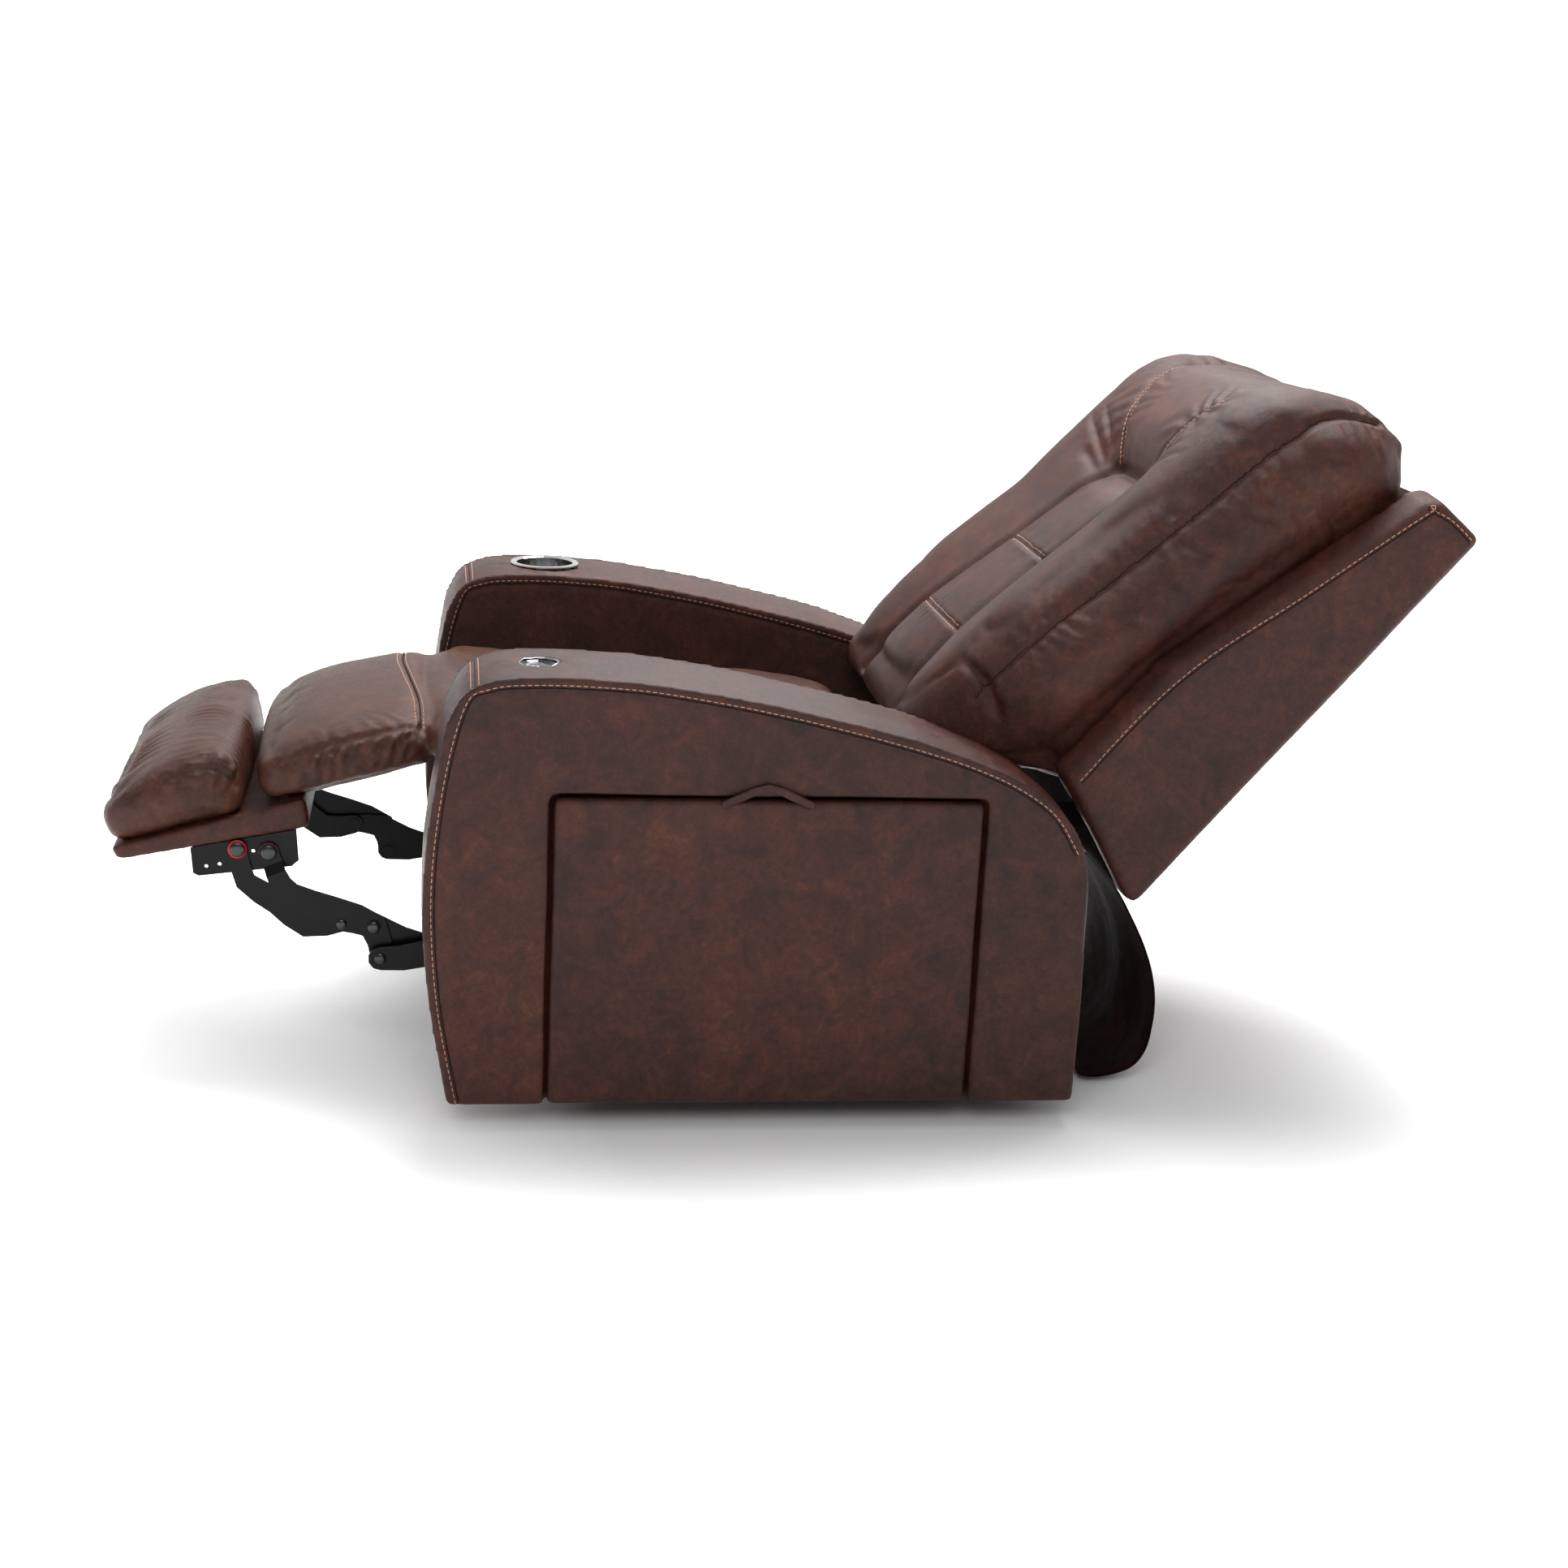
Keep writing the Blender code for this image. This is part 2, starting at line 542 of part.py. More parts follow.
def build_seat_frame():
    """Seat rails between the side plates, springs hooked on the front one, and a socket box."""
    reach = SIDE_PLATE_X - PLATE_T / 2 - FIT_GAP
    rails = []
    for name, centre in (("seat_front_rail", FRONT_RAIL_YZ), ("seat_rear_rail", REAR_RAIL_YZ)):
        half_y, half_z = SEAT_RAIL_SIZE[0] / 2, SEAT_RAIL_SIZE[1] / 2
        rails.append(block(name, (-reach, centre[0] - half_y, centre[1] - half_z),
                           (reach, centre[0] + half_y, centre[1] + half_z), 0.003, STEEL))
    front = FRONT_RAIL_YZ[0] + SEAT_RAIL_SIZE[0] / 2
    rear = REAR_RAIL_YZ[0] - SEAT_RAIL_SIZE[0] / 2
    hanger_z = FRONT_RAIL_YZ[1] - SEAT_RAIL_SIZE[1] / 2
    gap = ACTUATOR_EYE_W / 2 + FIT_GAP + EAR_T / 2
    beam_y = BACK_MOTOR_PIVOT[0] - 0.030
    beam = block("back_motor_beam", (-reach, beam_y - 0.012, hanger_z - 0.030),
                 (reach, beam_y + 0.012, hanger_z), 0.002, STEEL)
    ears = []
    for x in (-gap, gap):
        outline = strap([(beam_y, hanger_z - 0.015), BACK_MOTOR_PIVOT], [0.013, 0.011])
        ears.append(sheet_plate("ear", outline, [], x, EAR_T))
    span = gap + EAR_T / 2 + HEAD_T
    ears.append(cross_pin("pin", BACK_MOTOR_PIVOT, -span, span, 0.005))
    combine(beam, ears)
    box_top = REAR_RAIL_YZ[1] - SEAT_RAIL_SIZE[1] / 2 - FIT_GAP
    control = block("control_box", (0.085, REAR_RAIL_YZ[0] - 0.030, box_top - 0.030),
                    (0.185, REAR_RAIL_YZ[0] + 0.030, box_top), 0.004, PLASTIC)
    inlet = rod("inlet", (0.110, REAR_RAIL_YZ[0] + 0.024, box_top - 0.015),
                (0.110, REAR_RAIL_YZ[0] + 0.035, box_top - 0.015), 0.008)
    combine(control, [inlet], "DIFFERENCE")
    wires = []
    for i in range(SPRING_COUNT):
        x = (i - (SPRING_COUNT - 1) / 2) * 2 * reach / (SPRING_COUNT + 0.5)
        curve = bpy.data.curves.new("wire", "CURVE")
        curve.dimensions = "3D"
        curve.bevel_depth = SPRING_R
        curve.bevel_resolution = 0
        curve.use_fill_caps = True
        spline = curve.splines.new("POLY")
        count = 2 * SPRING_LOOPS
        spline.points.add(count - 1)
        for k, point in enumerate(spline.points):
            t = k / (count - 1)
            sway = SPRING_W * (1, 1, -1, -1)[k % 4]
            y = front - 0.020 + (rear + 0.040 - front) * t
            hook = 2 * SPRING_R if k < 2 else 0
            point.co = (x + sway, y, rail_top(y) + FIT_GAP + SPRING_R - hook, 1)
        item = bpy.data.objects.new("wire", curve)
        parts.objects.link(item)
        wires.append(baked(item, "wire_%d" % i))
    combine(rails[0], wires)


def build_footrest_links():
    """The footrest linkage on both sides: cranked, joggled and curved links on rivets."""
    run, loose = LINK_PIN_R + RUN_PLAY, LINK_PIN_R + OPEN_PLAY
    for side, word in ((1, "left"), (-1, "right")):
        y_arm, z_arm = ARM_FRONT_Y + 0.010, (CROSS_PIVOT[1] + TAIL_PIVOT[1]) / 2 - 0.012
        elbow = (y_arm + 0.060, z_arm + 0.050)
        route = [TIP_PIVOT, CROSS_PIVOT, (y_arm, z_arm + 0.004), elbow, FRONT_CRANK]
        crank = sheet_plate("front_link_" + word, strap(route, [0.012, 0.017, 0.015, 0.015, 0.015]),
                            [(*FRONT_CRANK, run)], side * FRONT_LINK_X, PLATE_T, STEEL)
        pins = []
        for pivot, tip, way in ((TIP_PIVOT, inboard(INNER_LINK_X, side, FIT_GAP), -side),
                                (CROSS_PIVOT, outboard(OUTER_LINK_X, side, FIT_GAP), side)):
            pins.append(cross_pin("pin", pivot, side * FRONT_LINK_X, tip + way * HEAD_T / 2, LINK_PIN_R,
                                  tip, way))
        combine(crank, pins)
        route = [TAIL_PIVOT, (y_arm, z_arm), (y_arm + 0.055, z_arm + 0.050), REAR_CRANK]
        rear = sheet_plate("rear_link_" + word, strap(route, [0.016, 0.019, 0.016, 0.014]),
                           [(*REAR_CRANK, run)], side * REAR_LINK_X, PLATE_T, STEEL)
        tip = inboard(OUTER_LINK_X, side, FIT_GAP)
        pins = [cross_pin("pin", TAIL_PIVOT, side * REAR_LINK_X, tip - side * HEAD_T / 2, LINK_PIN_R,
                          tip, -side)]
        combine(rear, pins)
        bend = (FOOT_REAR[0] + 0.010, FOOT_REAR[1] - 0.026)
        route = [TAIL_PIVOT, CROSS_PIVOT, (CROSS_PIVOT[0] - 0.052, CROSS_PIVOT[1] + 0.022),
                 (bend[0] + 0.018, bend[1] - 0.028), bend, FOOT_REAR]
        outer = sheet_plate("outer_link_" + word, strap(route, [0.013, 0.019, 0.019, 0.016, 0.013, 0.013]),
                            [(*TAIL_PIVOT, loose), (*CROSS_PIVOT, run)], side * OUTER_LINK_X, PLATE_T, STEEL)
        joggle(outer, bend, FOOT_REAR, side * (INNER_LINK_X - OUTER_LINK_X))
        tip = inboard(BRACKET_X, side, FIT_GAP)
        pins = [cross_pin("pin", FOOT_REAR, side * INNER_LINK_X, tip - side * HEAD_T / 2, LINK_PIN_R,
                          tip, -side)]
        combine(outer, pins)
        route = [TIP_PIVOT, (TIP_PIVOT[0] - 0.045, TIP_PIVOT[1] - 0.004),
                 (FOOT_FRONT[0] + 0.052, FOOT_FRONT[1] - 0.072),
                 (FOOT_FRONT[0] + 0.010, FOOT_FRONT[1] - 0.044), FOOT_FRONT]
        sheet_plate("inner_link_" + word, strap(route, [0.014, 0.018, 0.018, 0.014, 0.012]),
                    [(*TIP_PIVOT, run), (*FOOT_FRONT, loose)], side * INNER_LINK_X, PLATE_T, STEEL)
    reach = inboard(FRONT_LINK_X, 1, 2 * FIT_GAP + HEAD_T)
    rod("footrest_tube", (-reach, *FRONT_CRANK), (reach, *FRONT_CRANK), FOOT_TUBE_R, STEEL)


def joggle(item, start, end, shift):
    """Bend a flat plate sideways in a short step between two places along its length."""
    run = Vector((0, end[0] - start[0], end[1] - start[1]))
    step = run.length * 0.4
    along = run.normalized()
    work = bmesh.new()
    work.from_mesh(item.data)
    origin = Vector((0, *start))
    for offset in (0, step):
        bmesh.ops.bisect_plane(work, geom=work.verts[:] + work.edges[:] + work.faces[:],
                               plane_co=origin + along * offset, plane_no=along)
    for vert in work.verts:
        far = (vert.co - origin).dot(along)
        if far > -1e-5 and vert.co.y < start[0] + 0.03 and vert.co.z > start[1] - 0.03:
            vert.co.x += shift * min(max(far / step, 0), 1)
    work.to_mesh(item.data)
    work.free()


def tilted(origin, angle, along, off):
    """A (y, z) place given along and off a sloping line."""
    return (origin[0] + along * math.cos(angle) - off * math.sin(angle),
            origin[1] + along * math.sin(angle) + off * math.cos(angle))


def build_footrest_pads():
    """The ottoman pad on its board and brackets, and the chaise pad behind it."""
    pitch = FOOT_PITCH

    def pad(p, q, r):
        along = FOOT_PAD_LENGTH * (0.5 + 0.5 * q)
        top = table(along, FOOT_PAD_TOP) + FOOT_CROWN * math.cos(p * math.pi / 2)
        y, z = tilted(FOOT_PLANE, pitch, along, FIT_GAP + (top - FIT_GAP) * (0.5 + 0.5 * r))
        return (PAD_HALF * p, y, z)

    pillow("footrest_pad", pad, LEATHER, (5, 3, 2), 12.0)
    wedge = [tilted(FOOT_PLANE, pitch, 0.004, 0), tilted(FOOT_PLANE, pitch, BOARD_LENGTH, 0),
             tilted(FOOT_PLANE, pitch, BOARD_LENGTH - 0.004, -BOARD_T[1]),
             tilted(FOOT_PLANE, pitch, 0.008, -BOARD_T[0])]
    board = sheet_plate("footrest_board", wedge, [], 0, 2 * PAD_HALF - 0.012, LEATHER)
    edge = board.modifiers.new("edge", "BEVEL")
    edge.width = 0.005
    edge.segments = 2
    under = math.atan2(wedge[2][1] - wedge[3][1], wedge[2][0] - wedge[3][0])
    for side, word in ((1, "left"), (-1, "right")):
        ends = [tilted(wedge[3], under, a, -FIT_GAP) for a in (0.094, 0.232)]
        bottom = min(FOOT_FRONT[1], FOOT_REAR[1]) - 0.034
        outline = [ends[0], ends[1], (ends[1][0] + 0.003, FOOT_REAR[1] - 0.012),
                   (ends[1][0] - 0.006, FOOT_REAR[1] - 0.020), (ends[0][0] + 0.010, bottom),
                   (ends[0][0] + 0.003, bottom + 0.004)]
        spots = [(ends[0][0] + 0.020 + 0.017 * i, bottom + 0.013 + 0.003 * i, 0.0024) for i in range(3)]
        spots.append(((FOOT_FRONT[0] + FOOT_REAR[0]) / 2, FOOT_FRONT[1] - 0.004, 0.0024))
        spots.append((*FOOT_REAR, LINK_PIN_R + RUN_PLAY))
        plate = sheet_plate("footrest_bracket_" + word, outline, spots, side * BRACKET_X, PLATE_T, STEEL)
        flange_x = (side * BRACKET_X, side * (BRACKET_X - 0.026))
        flange = block("flange", (min(flange_x), 0.002, -PLATE_T), (max(flange_x), 0.136, -0.0001), 0)
        flange.data.transform(Matrix.Translation((0, *ends[0])) @ Matrix.Rotation(under, 4, "X"))
        tip = outboard(INNER_LINK_X, side, FIT_GAP)
        pin = cross_pin("pin", FOOT_FRONT, side * BRACKET_X, tip + side * HEAD_T / 2, LINK_PIN_R, tip, side)
        combine(plate, [flange, pin])

    def chaise(p, q, r):
        along = CHAISE_REACH * (0.5 + 0.5 * q)
        top = table(along, CHAISE_TOP) + CHAISE_CROWN * math.cos(p * math.pi / 2)
        y, z = tilted(CHAISE_REAR, CHAISE_PITCH, -along, top * (0.5 + 0.5 * r))
        return (PAD_HALF * p, y, z)

    pillow("chaise_pad", chaise, LEATHER, (5, 3, 2), 12.0)


def rail_top(y):
    """The height of the line over both seat rails at a depth y."""
    rise = (REAR_RAIL_YZ[1] - FRONT_RAIL_YZ[1]) / (REAR_RAIL_YZ[0] - FRONT_RAIL_YZ[0])
    return FRONT_RAIL_YZ[1] + SEAT_RAIL_SIZE[1] / 2 + rise * (y - FRONT_RAIL_YZ[0])


def build_seat():
    """The seat cushion between the arms, resting on the springs."""
    lift = 2 * (SPRING_R + FIT_GAP)

    def seat(p, q, r):
        y = SEAT_Y[0] + (SEAT_Y[1] - SEAT_Y[0]) * (0.5 + 0.5 * q)
        top = table(y, SEAT_TOP) + table(y, SEAT_CROWN) * math.cos(p * math.pi / 2)
        low = rail_top(y) + lift
        return ((SEAT_HALF - FIT_GAP) * p, y, low + (top - low) * (0.5 + 0.5 * r))

    pillow("seat_cushion", seat, LEATHER, (5, 6, 2), 16.0)


def arm_outline():
    """The arm seen from the side: bulged front, level top and a shoulder falling to the rear."""
    front, rear, base, top = ARM_FRONT_Y, ARM_REAR_Y, ARM_BASE_Z, ARM_TOP_Z
    return [(front + 0.034, base, "VECTOR"), (front + 0.008, base + 0.140, "AUTO"),
            (front, base + 0.290, "AUTO"), (front + 0.015, top - 0.131, "AUTO"),
            (front + 0.042, top - 0.030, "AUTO"), (front + 0.078, top - 0.007, "AUTO"),
            (front + 0.130, top - 0.001, "AUTO"), (front + 0.215, top - 0.002, "AUTO"),
            (front + 0.310, top - 0.011, "AUTO"), (front + 0.480, top - 0.042, "AUTO"),
            (front + 0.685, top - 0.097, "AUTO"), (*ARM_SHOULDER, "AUTO"),
            (rear - 0.010, ARM_SHOULDER[1] - 0.064, "AUTO"), (rear, ARM_SHOULDER[1] - 0.180, "AUTO"),
            (rear, base, "VECTOR")]


def build_arms():
    """Both arms with their fittings; the left one holds the side pocket."""
    for side, word in ((1, "left"), (-1, "right")):
        middle, width = side * (SEAT_HALF + HALF_WIDTH) / 2, HALF_WIDTH - SEAT_HALF
        arm = sheet_plate("arm_" + word, arm_outline(), [], middle, width, LEATHER, 3)
        soft = arm.modifiers.new("edge", "BEVEL")
        soft.width = ARM_EDGE_R
        soft.segments = 3
        soft.limit_method = "ANGLE"
        soft.angle_limit = math.radians(60)
        if side > 0:
            back_x = HALF_WIDTH - POCKET_PANEL_T - FIT_GAP
            recess = block("recess", (back_x, POCKET_Y[0] - POCKET_SEAM, ARM_BASE_Z - 0.01),
                           (HALF_WIDTH + 0.01, POCKET_Y[1] + POCKET_SEAM, POCKET_TOP_Z + POCKET_SEAM))
            cavity = block("cavity", (back_x - POCKET_DEPTH, POCKET_Y[0] + 0.020, POCKET_FLOOR_Z),
                           (back_x + 0.01, POCKET_Y[1] - 0.020, POCKET_TOP_Z - 0.030))
            well = rod("well", (*DISC_CENTRE, ARM_TOP_Z - 0.0035 - DISC_T), (*DISC_CENTRE, ARM_TOP_Z + 0.02),
                       DISC_R + FIT_GAP, count=24)
            combine(arm, [recess, cavity, well], "DIFFERENCE")
        else:
            well = rod("well", (*CUP_CENTRE, ARM_TOP_Z - CUP_DEPTH - 2 * FIT_GAP),
                       (*CUP_CENTRE, ARM_TOP_Z + 0.02), CUP_R + FIT_GAP, count=24)
            combine(arm, [well], "DIFFERENCE")
    top = ARM_TOP_Z + 2 * FIT_GAP
    inner = CUP_R - CUP_WALL
    floor = top - CUP_DEPTH
    profile = [(inner + 0.002, top + FLANGE_T), (CUP_FLANGE_R - 0.001, top + FLANGE_T),
               (CUP_FLANGE_R, top + 0.001), (CUP_FLANGE_R, top), (CUP_R, top), (CUP_R, floor + 0.004),
               (CUP_R - 0.004, floor), (0, floor), (0, floor + CUP_WALL), (inner - 0.004, floor + CUP_WALL),
               (inner, floor + 0.006), (inner, top + FLANGE_T - 0.002), (inner + 0.002, top + FLANGE_T)]
    turned("cup_holder", profile, CUP_CENTRE, STAINLESS, 24)
    face = ARM_TOP_Z - 0.0030
    profile = [(0, face - 0.003), (DISC_R - 0.006, face - 0.002), (DISC_R - 0.003, face),
               (DISC_R - 0.001, face), (DISC_R, face - 0.001), (DISC_R, face - DISC_T), (0, face - DISC_T)]
    turned("arm_disc", profile, DISC_CENTRE, DARK_GLASS, 24)
    panel_x = (HALF_WIDTH - POCKET_PANEL_T, HALF_WIDTH)
    block("pocket_panel", (panel_x[0], POCKET_Y[0], ARM_BASE_Z + 0.001),
          (panel_x[1], POCKET_Y[1], POCKET_TOP_Z), 0.006, LEATHER, 3)
    y0, y1 = PULL_TAB_Y
    span, rise = y1 - y0, PULL_TAB_RISE
    foot = POCKET_TOP_Z - 0.004
    arch = [(y0, foot), (y0 + 0.20 * span, foot + 0.45 * rise), (y0 + 0.5 * span, foot + rise),
            (y1 - 0.20 * span, foot + 0.45 * rise), (y1, foot)]
    half = PULL_TAB_W / 2
    sheet_plate("pull_tab", strap(arch, [half * 0.9, half, half, half, half * 0.9]), [],
                panel_x[1] + FIT_GAP + PULL_TAB_T / 2, PULL_TAB_T, LEATHER_LIGHT)


def back_place(x, s, d):
    """The world place of a point on the back, from its height up it and its standing off."""
    y, z = tilted(BACK_FOOT, BACK_LEAN, s, d)
    return (x, y, z)


def build_back():
    """The back: wooden frame, upholstered shell with wings, brackets, crank tube and cushions."""
    outline = [(0.000, 0.000), (SHELL_TOP_S, 0.000), (SHELL_TOP_S, SHELL_HEAD_D * 0.85),
               (SHELL_TOP_S - 0.020, SHELL_HEAD_D), (SHELL_FOOT_S + 0.200, SHELL_FOOT_D - 0.006),
               (SHELL_FOOT_S, SHELL_FOOT_D), (-0.002, 0.020)]
    wings = sheet_plate("back_shell", [back_place(0, s, d)[1:] for s, d in outline], [], 0,
                        2 * SHELL_HALF, LEATHER)
    edge = wings.modifiers.new("edge", "BEVEL")
    edge.width = 0.010
    edge.segments = 2
    edge.limit_method = "ANGLE"
    hollow = block("hollow", (-SHELL_HALF + WING_T, -0.10, SHELL_WALL),
                   (SHELL_HALF - WING_T, SHELL_TOP_S - 0.030, 0.40))
    turn = Matrix.Translation((0, *BACK_FOOT)) @ Matrix.Rotation(BACK_LEAN, 4, "X")
    hollow.data.transform(turn)
    combine(wings, [hollow], "DIFFERENCE")
    frame_d = SHELL_WALL + FIT_GAP
    post_x = SHELL_HALF - WING_T - 0.006
    post_y0, post_y1 = 0.020, SHELL_TOP_S - 0.040
    face_d = frame_d + POST_W
    bars = []
    for side, word in ((1, "left"), (-1, "right")):
        low_x, high_x = sorted((side * (post_x - POST_W), side * post_x))
        bars.append(block("back_post_" + word, (low_x, post_y0, frame_d), (high_x, post_y1, face_d), 0, WOOD))
    reach = post_x - POST_W - FIT_GAP
    for word, s in (("low", LOW_RAIL_S), ("middle", MIDDLE_RAIL_S), ("top", post_y1 - POST_W)):
        bars.append(block("back_rail_" + word, (-reach, s, frame_d), (reach, s + POST_W, face_d), 0, WOOD))
    for item in bars:
        item.data.transform(turn)
    for side, word in ((1, "left"), (-1, "right")):
        knee = back_place(0, 0.066, face_d + 0.0200)[1:]
        head = back_place(0, 0.190, face_d + 0.0140)[1:]
        bow = ((BACK_PIVOT[0] + knee[0]) / 2, (BACK_PIVOT[1] + knee[1]) / 2 + 0.012)
        outline = strap([BACK_CRANK, BACK_PIVOT, bow, knee, head], [0.014, 0.018, 0.017, 0.016, 0.012])
        plate = sheet_plate("back_bracket_" + word, outline, [(*BACK_PIVOT, LIFT_PIN_R + RUN_PLAY)],
                            side * BACK_BRACKET_X, PLATE_T, STEEL)
        low_x, high_x = sorted((side * BACK_BRACKET_X, side * (BACK_BRACKET_X - 0.024)))
        flange = block("flange", (low_x, LOW_RAIL_S, face_d + FIT_GAP),
                       (high_x, LOW_RAIL_S + 0.036, face_d + FIT_GAP + PLATE_T))
        flange.data.transform(turn)
        combine(plate, [flange])
    reach = BACK_BRACKET_X - PLATE_T / 2 - FIT_GAP
    rod("back_crank_tube", (-reach, *BACK_CRANK), (reach, *BACK_CRANK), 0.010, STEEL)
    build_back_cushions(face_d + FIT_GAP)


FACE_LINE = [(-0.050, 0.408), (0.050, 0.410), (0.180, 0.404), (0.330, 0.378), (0.490, 0.362),
             (0.560, 0.350), (0.610, 0.326), (0.660, 0.270), (0.690, 0.190)]
CREST_LINE = [(-0.050, 0.392), (0.050, 0.394), (0.180, 0.386), (0.330, 0.360), (0.490, 0.348),
              (0.560, 0.342), (0.610, 0.326), (0.660, 0.270), (0.690, 0.190)]
EDGE_LINE = [(-0.050, 0.350), (0.094, 0.346), (0.215, 0.331), (0.334, 0.311), (0.437, 0.291),
             (0.547, 0.279), (0.620, 0.260), (0.650, 0.232), (0.672, 0.187), (0.690, 0.160)]
CREST_AT = 0.45
CREST_FALL = 0.020


def build_back_cushions(rest_d):
    """Bolsters at the sides, the three-channel lumbar cushion between and the headrest above."""
    top_s, low_s = 0.684, -0.046

    def bolster(side):
        def shape(p, q, r):
            s = low_s + (top_s - low_s) * (0.5 + 0.5 * q)
            outer = table(s, [(0.02, 0.250), (0.20, 0.284), (0.60, 0.286), (0.68, 0.240)])
            bulge = 0.014 * max(0, r + 0.4) * table(s, [(0.08, 0), (0.22, 1), (0.60, 1), (0.68, 0.2)])
            inner = CHANNEL_HALF + BOLSTER_GAP
            x = inner + (outer - inner) * (0.5 + 0.5 * p) + (bulge if p > 0 else 0) * max(p, 0)
            crest = table(s, CREST_LINE)
            turn = max(0, (p - CREST_AT) / (1 - CREST_AT))
            slope = max(0, (CREST_AT - p) / (1 + CREST_AT))
            edge = table(s, EDGE_LINE)
            front = edge + (crest - edge) * math.sqrt(max(0, 1 - turn * turn)) - CREST_FALL * slope * slope
            rear = table(s, [(-0.05, 0.300), (0.02, 0.215), (0.10, rest_d + 0.040), (0.20, rest_d + 0.030),
                             (0.26, rest_d - BOLSTER_SINK), (0.50, rest_d - BOLSTER_SINK),
                             (0.58, SHELL_HEAD_D - 0.014), (0.68, 0.125)])
            return back_place(side * x, s, rear + (front - rear) * (0.5 + 0.5 * r))
        return shape

    for side, word in ((1, "left"), (-1, "right")):
        pillow("bolster_" + word, bolster(side), LEATHER, (3, 7, 2), 8.0)
    segments = len(SEAMS) - 1

    def lumbar(p, q, r):
        step = min(max((0.5 + 0.5 * q) * segments, 0), segments)
        s = table(step, list(enumerate(SEAMS))) - FIT_GAP
        nearest = round(step)
        dip = SEAM_DIP * max(0, 1 - 4 * abs(step - nearest)) if 0 < nearest < segments and r > 0 else 0
        front = table(s, FACE_LINE) - 0.016 - dip
        rear = table(s, [(-0.05, 0.310), (0.02, 0.235), (0.10, rest_d)])
        return back_place(CHANNEL_HALF * p, s, rear + (front - rear) * (0.5 + 0.5 * r))

    pillow("lumbar_cushion", lumbar, LEATHER, (3, 11, 1), 14.0)

    def headrest(p, q, r):
        s = SEAMS[-1] + (top_s - 0.004 - SEAMS[-1]) * (0.5 + 0.5 * q)
        front = table(s, CREST_LINE) - 0.006
        rear = table(s, [(0.592, rest_d), (0.655, SHELL_HEAD_D + 0.0311), (0.68, 0.132)])
        return back_place(CHANNEL_HALF * p, s, rear + (front - rear) * (0.5 + 0.5 * r))

    pillow("headrest", headrest, LEATHER, (3, 4, 2), 12.0)


def build_skirt():
    """The loose skirt that hangs from the back's lower edge to the floor."""
    drop = [(0.4535, 0.2838), (0.482, 0.240), (0.510, 0.190), (0.529, 0.130), (0.526, 0.060), (0.508, 0.024),
            (0.466, 0.010), (0.424, 0.009)]
    columns = 12
    work = bmesh.new()
    rows = []
    for k, (y, z) in enumerate(drop):
        fall = k / (len(drop) - 1)
        row = []
        for i in range(columns + 1):
            x = SKIRT_HALF * (2 * i / columns - 1)
            ripple = SKIRT_FOLD * fall * (1 - fall) * 4 * math.cos(x * 2 * math.pi / 0.18)
            row.append(work.verts.new((x, y + ripple, z)))
        rows.append(row)
    for upper, lower in zip(rows, rows[1:]):
        for i in range(columns):
            work.faces.new((upper[i], lower[i], lower[i + 1], upper[i + 1]))
    bmesh.ops.recalc_face_normals(work, faces=work.faces)
    mesh = bpy.data.meshes.new("rear_skirt")
    work.to_mesh(mesh)
    work.free()
    item = place("rear_skirt", mesh, LEATHER)
    wall = item.modifiers.new("wall", "SOLIDIFY")
    wall.thickness = SKIRT_T
    wall.offset = 0


build_base()
build_lift_links()
build_actuator("lift_actuator", LIFT_MOTOR_PIVOT, TORQUE_TUBE, TORQUE_TUBE_R, 0.0062, 0.044)
build_side_plates()
build_seat_frame()
build_actuator("back_actuator", BACK_MOTOR_PIVOT, BACK_CRANK, 0.010, 0.0025, -0.044)
build_footrest_links()
build_footrest_pads()
build_seat()
build_arms()
build_back()
build_skirt()
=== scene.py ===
import bpy
import bmesh
import math
import numpy as np
from mathutils import Matrix, Vector, noise
from mathutils.bvhtree import BVHTree
from mathutils.kdtree import KDTree


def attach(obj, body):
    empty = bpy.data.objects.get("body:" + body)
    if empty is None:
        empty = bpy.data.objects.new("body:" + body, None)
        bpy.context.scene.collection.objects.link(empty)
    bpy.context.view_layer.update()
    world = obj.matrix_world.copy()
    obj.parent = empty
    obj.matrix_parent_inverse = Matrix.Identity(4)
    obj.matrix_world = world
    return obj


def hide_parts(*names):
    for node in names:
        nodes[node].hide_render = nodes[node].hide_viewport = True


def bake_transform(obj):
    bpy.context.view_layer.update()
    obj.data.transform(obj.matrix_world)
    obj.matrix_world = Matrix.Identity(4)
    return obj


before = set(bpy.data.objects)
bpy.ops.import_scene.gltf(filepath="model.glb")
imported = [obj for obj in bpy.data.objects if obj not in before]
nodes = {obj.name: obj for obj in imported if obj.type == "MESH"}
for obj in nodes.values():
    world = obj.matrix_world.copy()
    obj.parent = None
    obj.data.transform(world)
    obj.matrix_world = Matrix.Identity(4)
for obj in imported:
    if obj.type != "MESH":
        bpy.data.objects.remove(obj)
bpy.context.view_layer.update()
scene = bpy.context.scene
sides = (("left", 1), ("right", -1))
down = (0, 0, -1)
print("frame loaded")

